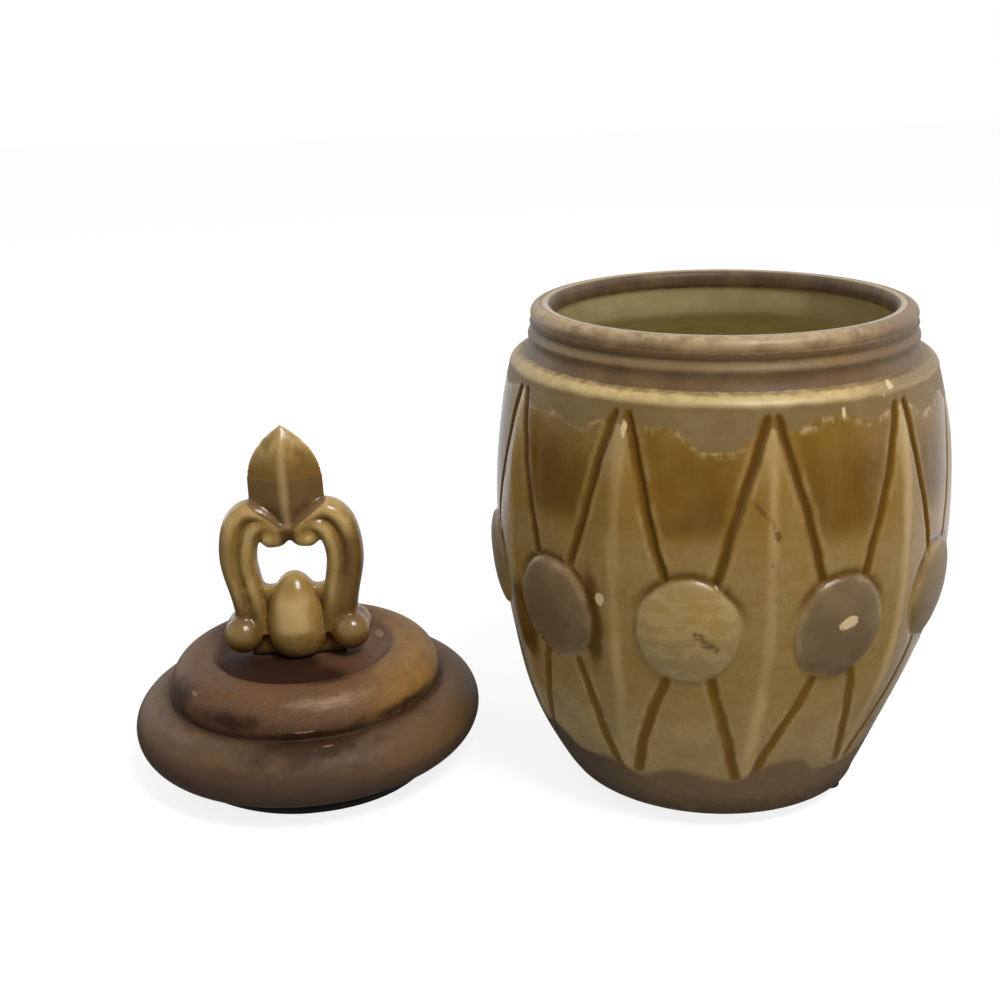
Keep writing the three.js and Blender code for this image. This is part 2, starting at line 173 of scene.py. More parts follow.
def startMaterial(name):
    material = bpy.data.materials.new(name)
    material.use_nodes = True
    tree = material.node_tree
    tree.nodes.clear()
    coords = addNode(tree, "ShaderNodeTexCoord").outputs["Object"]
    return material, tree, coords, addNode(tree, "ShaderNodeSeparateXYZ", {0: coords}).outputs


def makeMaterial(name, recipe):
    material, tree, coords, parts = startMaterial(name)
    value = {"x": parts["X"], "y": parts["Y"]}
    for attribute in recipe["attributes"].split():
        value[attribute] = addNode(tree, "ShaderNodeAttribute", attribute_name=attribute).outputs["Fac"]

    # feature size in mm, detail, roughness and, if any, the stretch
    for noise, (size, detail, rough, *stretch) in recipe["noises"].items():
        place = addNode(tree, "ShaderNodeMapping", {"Vector": coords, "Scale": stretch or (1, 1, 1)})
        links = {"Vector": place.outputs[0], "Scale": perMetre(size), "Detail": detail, "Roughness": rough}
        value[noise] = addNode(tree, "ShaderNodeTexNoise", links).outputs["Fac"]

    # a source, or a source, a noise and the mm by which it moves the source: where each mask is 0 and is 1
    for source, masks in recipe["masks"].items():
        if isinstance(source, str):
            field = value[source]
        else:
            distance, noise, size = source
            shift = addMath(tree, "SUBTRACT", value[noise], 0.5)
            field = addMath(tree, "MULTIPLY_ADD", shift, size, value[distance])
        for mask, (low, high) in masks.items():
            value[mask] = addRamp(tree, field, low, high)

    # mask, mask and, if any, a strength; a mask that is given twice gets a softer edge
    def multiplied(first, second, strength=1.0):
        return addMath(tree, "MULTIPLY", addMath(tree, "MULTIPLY", value[first], value[second]), strength)

    for product, masks in recipe["products"].items():
        value[product] = multiplied(*masks)

    # each coat is laid over the ones before: its colour, and one mask or a product
    paint = linearColour(recipe["colours"][recipe["ground"]])
    for colour, mask, *more in recipe["coats"]:
        amount = multiplied(mask, *more) if more else value[mask]
        links = {0: amount, 6: paint, 7: linearColour(recipe["colours"][colour])}
        paint = addNode(tree, "ShaderNodeMix", links, data_type="RGBA").outputs[2]
    rough, *coats = recipe["roughness"]
    for level, mask in coats:
        links = {0: value[mask], 2: rough, 3: level}
        rough = addNode(tree, "ShaderNodeMix", links, data_type="FLOAT").outputs[0]

    # strength and height in metres; a hollow has one more value, True
    links = {}
    for source, strength, distance, *hollow in recipe["bumps"]:
        links.update({"Strength": strength, "Distance": distance, "Height": value[source]})
        links["Normal"] = addNode(tree, "ShaderNodeBump", links, invert=bool(hollow)).outputs[0]
    shader = addNode(tree, "ShaderNodeBsdfPrincipled", {
        "Base Color": paint, "Roughness": rough, "Specular IOR Level": recipe["specular"],
        "Normal": links["Normal"]})
    addNode(tree, "ShaderNodeOutputMaterial", {"Surface": shader.outputs[0]})
    return material


# Camera, at the photograph's place

view = {
    "place": (-0.01145, -0.5936, 0.3241),
    "pitchDown": 18.28,  # degrees below the horizon
    "roll": -1.49,  # uprights lean a little to the left
    "lens": 51.5, "sensor": 36,  # mm
}
camera = addObject("camera", bpy.data.cameras.new("camera"))
camera.data.lens = view["lens"]
camera.data.sensor_width = view["sensor"]
camera.data.clip_start = 0.01
camera.location = view["place"]
pitch = Matrix.Rotation(math.radians(90 - view["pitchDown"]), 4, "X")
roll = Matrix.Rotation(math.radians(view["roll"]), 4, "Z")
camera.rotation_euler = (pitch @ roll).to_euler()
bpy.context.scene.camera = camera
bpy.context.scene.view_settings.view_transform = "Standard"


# Studio: a pale table and backdrop, soft lamps, a dimmer room in front

studio = {
    "floorHalf": 4.0,  # metres
    "floorDrop": 0.0002,  # metres below the part's feet
    "floorSeen": 1.2,  # what the camera sees of the table
    "floorPaint": 0.95,
    "floorShade": 0.3,  # how much of the shadow the camera sees
    "floorBounce": 0.6,  # grey of the table for the light it throws back
    "floorMirrored": 0.13,  # how bright the table shows in the glaze, in front
    "farMirrored": 0.85,  # and behind and to the right
    "mirrorSlant": 0.6, "mirrorFrom": 0.1, "mirrorTo": 0.3,  # where the one changes into the other, in metres
    "sky": 0.48,
    "room": 0.12,  # the side of the room behind the camera, as glossy things mirror it
    "roomFrom": -0.75, "roomTo": -0.05,
}


def grey(level):
    return (level, level, level, 1)


def makeFloor():
    bm = bmesh.new()
    bmesh.ops.create_grid(bm, x_segments=1, y_segments=1, size=studio["floorHalf"])
    bmesh.ops.translate(bm, vec=(0, 0, -studio["floorDrop"]), verts=bm.verts)
    mesh = toMesh(bm, "table")
    floor = addObject("table", mesh)
    material, tree, _, place = startMaterial("white laminate")  # matt and even; takes a soft shadow
    path = addNode(tree, "ShaderNodeLightPath").outputs
    bounce = addNode(tree, "ShaderNodeBsdfDiffuse", {"Color": grey(studio["floorBounce"])}).outputs[0]
    paint = addNode(tree, "ShaderNodeBsdfDiffuse", {"Color": grey(studio["floorPaint"])}).outputs[0]
    pale = mixShaders(tree, studio["floorShade"], addEmission(tree, studio["floorSeen"]), paint)
    away = addMath(tree, "MULTIPLY_ADD", place["X"], studio["mirrorSlant"], place["Y"])
    mirrored = addRamp(tree, away, studio["mirrorFrom"], studio["mirrorTo"],
                       studio["floorMirrored"], studio["farMirrored"], "LINEAR")
    unseen = mixShaders(tree, path["Is Glossy Ray"], bounce, addEmission(tree, mirrored))
    mix = mixShaders(tree, path["Is Camera Ray"], unseen, pale)
    addNode(tree, "ShaderNodeOutputMaterial", {"Surface": mix})
    mesh.materials.append(material)


def addBackground(tree, strength):
    return addNode(tree, "ShaderNodeBackground", {"Color": grey(1), "Strength": strength}).outputs[0]


def makeSky():
    world = bpy.data.worlds.new("studio")
    bpy.context.scene.world = world
    world.use_nodes = True
    tree = world.node_tree
    tree.nodes.clear()
    path = addNode(tree, "ShaderNodeLightPath").outputs
    direction = addNode(tree, "ShaderNodeTexCoord").outputs["Generated"]
    parts = addNode(tree, "ShaderNodeSeparateXYZ", {0: direction}).outputs
    front = addRamp(tree, parts["Y"], studio["roomFrom"], studio["roomTo"], studio["room"])
    ambient = addBackground(tree, studio["sky"])
    mirrored = addBackground(tree, front)
    backdrop = addBackground(tree, 1.0)
    glossy = mixShaders(tree, path["Is Glossy Ray"], ambient, mirrored)
    clear = addMath(tree, "MAXIMUM", path["Is Camera Ray"], path["Is Transmission Ray"])
    addNode(tree, "ShaderNodeOutputWorld", {"Surface": mixShaders(tree, clear, glossy, backdrop)})


def addLamp(name, place, target, width, height, power):
    lamp = addObject(name, bpy.data.lights.new(name, "AREA"))
    lamp.data.shape = "RECTANGLE"
    lamp.data.size = width
    lamp.data.size_y = height
    lamp.data.energy = power
    lamp.location = place
    lamp.rotation_euler = (Vector(place) - Vector(target)).to_track_quat("Z", "Y").to_euler()


lamps = [
    # name, place, target, width, height, watts
    ("ceiling lamp", (0.40, -0.70, 1.25), (0, 0, 0.1), 0.5, 0.5, 17.0),
    ("left window", (-0.95, 0.85, 0.45), (0.05, 0, 0.12), 0.35, 0.8, 1.2),
    ("right window", (1.25, 0.35, 0.5), (0.1, 0, 0.12), 0.4, 0.8, 1.2),
]

makeFloor()
makeSky()
for lamp in lamps:
    addLamp(*lamp)
print("camera and studio ready")


# Jar: one slip-cast wall with bosses, hourglass grooves and ridged lozenges pressed from the mould

jar = {
    "axis": (83.29, 0.0),
    "lift": 2.6,  # height of the foot pads
    "baseRadius": 52.2, "heelHeight": 5.0, "heelRadius": 64.4, "heelRound": 0.7,
    "bellyRadius": 96.9, "bellyHeight": 122.0, "lowerBow": 1.92, "upperBow": 2.2,
    "shoulderRadius": 89.3, "shoulderHeight": 186.0, "ledgeRise": 5.6,
    "neckRadius": 80.9, "neckFlare": 1.7, "jarHeight": 211.4,
    "wall": 5.0, "wallTaper": 1.3, "innerTop": 181.0, "floor": 6.0,
    "sag": 3.0, "sagHeight": 34.0, "sagSpread": 30.0,
    "motifs": 10, "motifTurn": -14.5, "motifDrop": 1.2,
    "bossRadius": 21.0, "bossHeight": 101.0, "bossRise": 3.56, "bossStep": 1.0,
    "bossDome": 3.0, "bossSoft": 1.3,  # how flat the top is, and how soft the edge, in mm
    "grooveWidth": 4.2, "grooveDepth": 1.3, "grooveTop": 184.0, "grooveBottom": 23.0,
    "grooveMeetAngle": 5.4, "lowMeetAngle": 4.6, "grooveMeetRise": 18.3, "lowGroove": 0.6,
    "ridgeRise": 0.9, "ridgeFade": 30.0, "ridgeRound": 0.004,
    "waveFrom": 20.0, "waveTo": 34.0,  # mm from the bosses' middle, where the grooves start to waver
    "archReach": 24.0,  # mm over and under a boss where the rows are bent
    "dipDepth": 0.3, "dipGap": 1.4,  # the wall dips a little round each boss
    "stainDepth": 3.5, "baseBand": 26.0,
    "columnsPerHalf": 22, "cluster": (8, 16), "clusterHalf": 2.8,  # the mesh is denser beside the grooves
}
ridgeAngle = 180 / jar["motifs"]
meetLow = jar["bossHeight"] - jar["grooveMeetRise"]  # where the groove lines end at the bosses
meetHigh = jar["bossHeight"] + jar["grooveMeetRise"]
farOff = 60.0  # mm, for the parts of the jar that a feature doesn't reach

# made by hand, so no two bosses are alike: mm to the side, mm up, width, height, and how pale the glaze is
bossHabits = [
    (-0.8, -1.2, 0.99, 1.05, 1.0), (-0.4, -1.4, 0.92, 1.05, 0.0), (0.6, 0.0, 1.0, 1.0, 0.45),
    (0.0, 0.5, 1.02, 0.98, 0.2), (-0.5, 0.0, 0.97, 1.0, 0.6), (0.4, -0.6, 1.0, 1.03, 0.1),
    (0.0, 0.0, 0.98, 1.02, 0.8), (-0.6, 0.4, 1.02, 1.0, 0.3), (0.0, 0.0, 1.0, 0.97, 0.5),
    (-1.0, -3.2, 1.0, 1.02, 0.12),
]

# marks of firing and use: degrees from the front, height, half width, half height, tilt in degrees
marks = {
    "pool": [(-38.8, 97, 6.5, 28, 0), (-66, 84, 11, 24, 8), (63, 96, 5, 22, -6), (-81, 130, 11, 52, 0),
             (130, 100, 6, 24, 0), (-150, 96, 6, 22, 0)],
    "soil": [(1.0, 150, 2.2, 8, 34), (4.4, 141, 1.9, 7, 20), (3.6, 129, 1.1, 7, 38),
             (-9.8, 96.5, 6.4, 3.0, -28), (-12, 100.5, 5.4, 2.2, -20), (-20, 91, 1.2, 1.0, 0),
             (165, 130, 3, 9, 20)],
    "chip": [(22.2, 103, 4.8, 2.9, 12), (-36.2, 109, 2.4, 3.0, -10), (37.5, 190, 2.6, 1.3, 20),
             (33.6, 187, 1.3, 1.6, 0), (21.2, 183.5, 1.5, 2.6, 0), (-31.6, 178, 1.3, 3.6, 0),
             (-19.0, 185, 1.3, 1.6, 0), (-72, 128, 3.5, 0.8, 35), (110, 184, 3, 2, 0), (201, 120, 3, 2.4, 0)],
}

# lobes of the brown stain that runs down from the shoulder: degrees from the front, half width, mm
stainRuns = [
    (-9, 8, 13), (-27, 7, 4), (-47, 6, 7), (-60, 7, 4), (9, 5, 3), (33, 6, 4), (52, 7, 6), (76, 9, 9),
    (104, 7, 5), (128, 9, 10), (156, 8, 6), (184, 9, 9), (210, 6, 4), (232, 8, 8), (256, 8, 6),
]

# lobes of the darker band at the base
baseRuns = [
    (-67, 13, 10), (-45, 9, 3), (-14, 10, 6), (16, 9, 10), (34, 5, 2), (62, 8, 4), (90, 10, 6), (125, 9, 5),
    (160, 10, 8), (190, 8, 3), (220, 10, 7), (255, 9, 5),
]


def bowed(start, end, part, bow):  # from start to end as part goes from 0 to 1
    return start + (end - start) * np.clip(part, 0, 1) ** bow


def wallRadius(height):
    heel, belly, shoulder = jar["heelHeight"], jar["bellyHeight"], jar["shoulderHeight"]
    widest = jar["bellyRadius"]
    foot = bowed(jar["baseRadius"], jar["heelRadius"], height / heel, jar["heelRound"])
    low = bowed(widest, jar["heelRadius"], (belly - height) / (belly - heel), jar["lowerBow"])
    high = bowed(widest, jar["shoulderRadius"], (height - belly) / (shoulder - belly), jar["upperBow"])
    return np.where(height < heel, foot, np.where(height < belly, low, high))


def ridgeRelief(height):  # how far the ridges of the lozenges stand out
    low = smooth(height, jar["grooveBottom"], meetLow)
    high = 1 - smooth(height, jar["grooveTop"] - jar["ridgeFade"], jar["shoulderHeight"])
    return jar["ridgeRise"] * low * high


def sideSag(height):  # how far the wall leans to the left low down, in mm
    spread = (height - jar["sagHeight"]) / jar["sagSpread"]
    return -jar["sag"] * np.exp(-spread ** 2) * smooth(height, 0, jar["heelHeight"] * 2)


def patternShift(turn, height):  # the pattern sits a little lower on the right
    low = smooth(height, jar["heelHeight"], jar["bossHeight"])
    high = 1 - smooth(height, jar["bossHeight"], jar["shoulderHeight"])
    return -jar["motifDrop"] * np.cos(turn) * low * high


def grooveAngle(height, radius):  # degrees from the boss to the groove line at this height
    spread = np.maximum((height - meetHigh) / (jar["grooveTop"] - meetHigh),
                        (meetLow - height) / (meetLow - jar["grooveBottom"]))
    apex = ridgeAngle - 1.2 * np.degrees(jar["grooveWidth"] / 2 / radius)
    meet = np.where(height < jar["bossHeight"], jar["lowMeetAngle"], jar["grooveMeetAngle"])
    return meet + (apex - meet) * np.clip(spread, 0, 1)


def wallHeights():  # rows lie close together at the two ends of the bosses
    half = jar["clusterHalf"]
    stops = [(0.35, 3), (jar["heelHeight"], 4), (jar["grooveBottom"], 9),
             (meetLow - half, 34), (meetLow + half, 9), (meetHigh - half, 20), (meetHigh + half, 9),
             (jar["grooveTop"], 38), (jar["shoulderHeight"], 2)]
    heights = [0.0]
    for height, rows in stops:
        heights.extend(np.linspace(heights[-1], height, rows + 1)[1:])
    return heights


def neckOutline():
    # flared foot, band, shallow groove and rolled lip, up to its crown; steps are mm out and mm up
    steps = [(1.55, 0.3), (1.0, 1.5), (0.4, 2.8), (0, 4.2), (-0.05, 5.6), (0.25, 6.6), (0.3, 7.6), (0, 8.6),
             (-0.75, 9.6), (-1.0, 10.7), (-0.9, 11.8), (-0.5, 12.6)]
    foot = jar["shoulderHeight"] + jar["ledgeRise"]
    points = [(jar["neckRadius"] + out, foot + up) for out, up in steps]
    return points + arc((jar["neckRadius"] - 5, jar["jarHeight"] - 3.7), 4.15, 3.7, -32, 90, 12)


def insideOutline():  # from the crown of the lip down to the middle of the floor
    rim = [(73.6, 0), (72.6, 0.25), (71.8, 0.8), (71.2, 1.8), (70.9, 3.2), (70.8, 5), (70.9, 6.4),
           (71.3, 7.2), (71.9, 7.9), (72.0, 9.5), (72.0, 14), (72.3, 18.5), (73.4, 21.6), (76.2, 24.3),
           (80.0, 27.2)]  # radius, mm below the crown
    points = [(radius, jar["jarHeight"] - depth) for radius, depth in rim]
    low = jar["floor"]
    for height in np.linspace(jar["innerTop"], low + 9, 24):
        points.append((float(wallRadius(height)) - jar["wall"] - jar["wallTaper"], height))
    edge = points[-1][0]
    points += [(edge - 1.6, low + 4.8), (edge - 4.6, low + 1.7), (edge - 9, low + 0.3)]
    return points + [(40, low), (20, low), (0, low)]


def jarOutline():
    base = [(0, 0), (20, 0), (38, 0), (47, 0), (jar["baseRadius"] - 1.2, 0)]
    wall = [(float(wallRadius(h)), h) for h in wallHeights()]
    foot = jar["neckRadius"] + jar["neckFlare"]
    ledge = arc((foot, jar["shoulderHeight"]), jar["shoulderRadius"] - foot, jar["ledgeRise"], 0, 90, 8)[1:]
    neck = neckOutline()
    starts = np.cumsum([len(base), len(wall), len(ledge), len(neck)])
    rows = dict(zip(("wall", "ledge", "neck", "inside"), starts))
    return base + wall + ledge + neck + insideOutline(), rows


def columnAngle(part, height, radius):
    # part is 0 at the boss and 1 at the ridge; the columns crowd round the groove and the side of the boss
    up = height - jar["bossHeight"]
    edge = np.degrees(np.sqrt(np.clip(jar["bossRadius"] ** 2 - up ** 2, 0, None)) / radius)
    line = np.maximum(edge, grooveAngle(height, radius))
    half = np.degrees(jar["clusterHalf"] / radius)
    outer = line + half * np.minimum(1, (ridgeAngle - line) / (half * 1.5))
    inner = line - half
    near, far = [columns / jar["columnsPerHalf"] for columns in jar["cluster"]]
    first = inner * part / near
    second = inner + (outer - inner) * (part - near) / (far - near)
    third = outer + (ridgeAngle - outer) * (part - far) / (1 - far)
    return np.where(part < near, first, np.where(part < far, second, third))


def bossLift(across, up, number):  # height of a boss over the wall, distance from its edge, and its tone
    habit = np.array(bossHabits)[number.astype(int) % jar["motifs"]]
    across = (across - habit[..., 0]) / habit[..., 2]
    up = (up - habit[..., 1]) / habit[..., 3]
    reach = np.hypot(across, up)
    lean = np.arctan2(up, across)
    size = jar["bossRadius"] + 0.35 * np.sin(lean * 2 + number) + 0.2 * np.sin(lean * 5 + number * 2.3)
    gap = reach - size
    dome = 1 - np.clip(reach / size, 0, 1) ** jar["bossDome"]
    step = jar["bossStep"] * (1 - smooth(gap, -jar["bossSoft"], jar["bossSoft"] / 2))
    return step + (jar["bossRise"] - jar["bossStep"]) * dome, gap, habit[..., 4]


def pressWall(turn, height):
    # place of each wall point, its height and azimuth before the shifts, and where it lies in the pattern:
    # its column and row are bent to follow the pattern, then it gets its relief
    middle, meet = jar["bossHeight"], jar["grooveMeetRise"]
    radius = wallRadius(height)
    motif = (np.degrees(turn) + 90 - jar["motifTurn"]) / (2 * ridgeAngle)
    number = np.floor(motif + 0.5 + tiny)
    side = np.where(motif < number - tiny, -1.0, 1.0)
    angle = columnAngle(np.abs(motif - number) * 2, height, radius)
    across = radius * np.radians(angle)
    # rows near the ends of a boss arch over it
    arch = np.sqrt(np.clip(jar["bossRadius"] ** 2 - across ** 2, meet ** 2, None)) - meet
    away = np.abs(height - middle)
    pull = np.where(away < meet, smooth(away, 0, meet), 1 - smooth(away, meet, meet + jar["archReach"]))
    height = height + np.sign(height - middle) * arch * pull
    radius = wallRadius(height)
    relief = ridgeRelief(height)
    groove = grooveAngle(height, radius)
    wave = 0.5 * np.sin(height * 0.09 + number * 1.9 + side) + 0.15 * np.sin(height * 0.37 + number * 2.7)
    fromGroove = radius * np.radians(angle - groove) + wave * smooth(away, jar["waveFrom"], jar["waveTo"])
    beyond = np.maximum(height - jar["grooveTop"] + 1, jar["grooveBottom"] + 6 - height)
    beyond = np.maximum(beyond, meet + 1 - away)
    grooveGap = np.hypot(fromGroove, np.clip(beyond, 0, None))
    depth = jar["grooveDepth"] * np.where(height < middle, jar["lowGroove"], 1.0)
    cut = depth * (1 - smooth(grooveGap, 0, jar["grooveWidth"] / 2))
    toRidge = np.clip((angle - groove) / (ridgeAngle - groove), 0, 1)
    facet = np.minimum(2 * relief * np.sqrt(toRidge ** 2 + jar["ridgeRound"]) - relief, relief)
    lift, bossGap, tone = bossLift(side * jar["bellyRadius"] * np.radians(angle), height - middle, number)
    dip = jar["dipDepth"] * np.exp(-(bossGap - jar["dipGap"]) ** 2)
    wall = radius + facet - cut * smooth(bossGap, -0.5, 0.8) + lift - dip  # the grooves end at the bosses
    turn = np.radians(jar["motifTurn"] - 90 + number * 2 * ridgeAngle + side * angle)
    place = (wall * np.cos(turn) + sideSag(height), wall * np.sin(turn), height + patternShift(turn, height))
    return place, height, np.degrees(turn) + 90, {
        "groove": grooveGap, "boss": bossGap, "ridge": radius * np.radians(ridgeAngle - angle),
        "vee": -fromGroove, "tone": tone}


def markField(kind, azimuth, height):  # 1 in the middle of the nearest mark of this kind, 0 at its edge
    field = np.full(len(height), -1.0)
    for middle, markHeight, halfWidth, halfHeight, tilt in marks[kind]:
        across = np.radians(turnedFrom(azimuth, middle)) * jar["bellyRadius"]
        up = height - markHeight
        lean = math.radians(tilt)
        along = across * math.cos(lean) + up * math.sin(lean)
        upward = up * math.cos(lean) - across * math.sin(lean)
        field = np.maximum(field, 1 - np.hypot(along / halfWidth, upward / halfHeight))
    return field


def lobes(azimuth, runs):  # how far the lobes of a brushed band reach, in mm
    reach = 1.2 * np.sin(np.radians(azimuth * 7)) + 0.9 * np.sin(np.radians(azimuth * 17 + 40))
    for middle, halfWidth, run in runs:
        reach = reach + run * np.exp(-np.abs(turnedFrom(azimuth, middle) / halfWidth) ** 3)
    return reach


def makeJar(material):
    outline, rows = jarOutline()
    columns = jar["motifs"] * 2 * jar["columnsPerHalf"]
    bm = spinOutline(outline, columns)
    layer = bm.verts.layers.int["row"]
    x, y, height = placesOf(bm)
    row = np.array([v[layer] for v in bm.verts])
    step = fullTurn / columns
    start = math.radians(jar["motifTurn"] - 90)
    turn = np.round(np.arctan2(y, x) / step) * step + start  # the columns start at a boss
    reach = np.hypot(x, y)
    (px, py, pz), level, azimuth, pattern = pressWall(turn, np.clip(height, 0, jar["shoulderHeight"]))
    onWall = (row >= rows["wall"]) & (row < rows["ledge"])
    inside = row >= rows["inside"]
    # the base, ledge and neck keep the columns of the wall beside them, and fade back to even ones
    above = 1 - smooth(height, jar["shoulderHeight"], jar["jarHeight"] - 8)
    flow = np.where((row >= rows["ledge"]) & ~inside, above, 0)
    flow = np.maximum(flow, np.where(row < rows["wall"], smooth(reach, 10, jar["baseRadius"]), 0))
    drift = (np.arctan2(py, px) - turn + math.pi) % fullTurn - math.pi
    turned = turn + drift * flow
    sag = np.where(inside & (height < jar["innerTop"]), sideSag(height), 0)
    x = np.where(onWall, px, reach * np.cos(turned) + sag) + jar["axis"][0]
    y = np.where(onWall, py, reach * np.sin(turned)) + jar["axis"][1]
    z = np.where(onWall, pz, height) + jar["lift"]
    for vert, spot in zip(bm.verts, zip(x, y, z)):
        vert.co = spot
    piece = makePiece("jar", bm, "jar", "honey_glaze", material, "jar_body")
    azimuth = np.where(onWall, azimuth, np.degrees(turned) + 90)
    level = np.where(onWall, level, height)
    stainEdge = jar["shoulderHeight"] - jar["stainDepth"] - lobes(azimuth, stainRuns)
    addAttributes(piece, {
        "height": np.where(inside, farOff, level),
        "inside": np.where(inside, jar["jarHeight"] - height, 0),
        "stain": np.where(inside, -farOff, level - stainEdge),
        "base": np.where(inside, -farOff, jar["baseBand"] + lobes(azimuth, baseRuns) - level)})
    for name, values in pattern.items():
        addAttributes(piece, {name: np.where(onWall, values, 0 if name in ("vee", "tone") else farOff)})
    addAttributes(piece, {kind: np.where(inside, -1, markField(kind, azimuth, level)) for kind in marks})


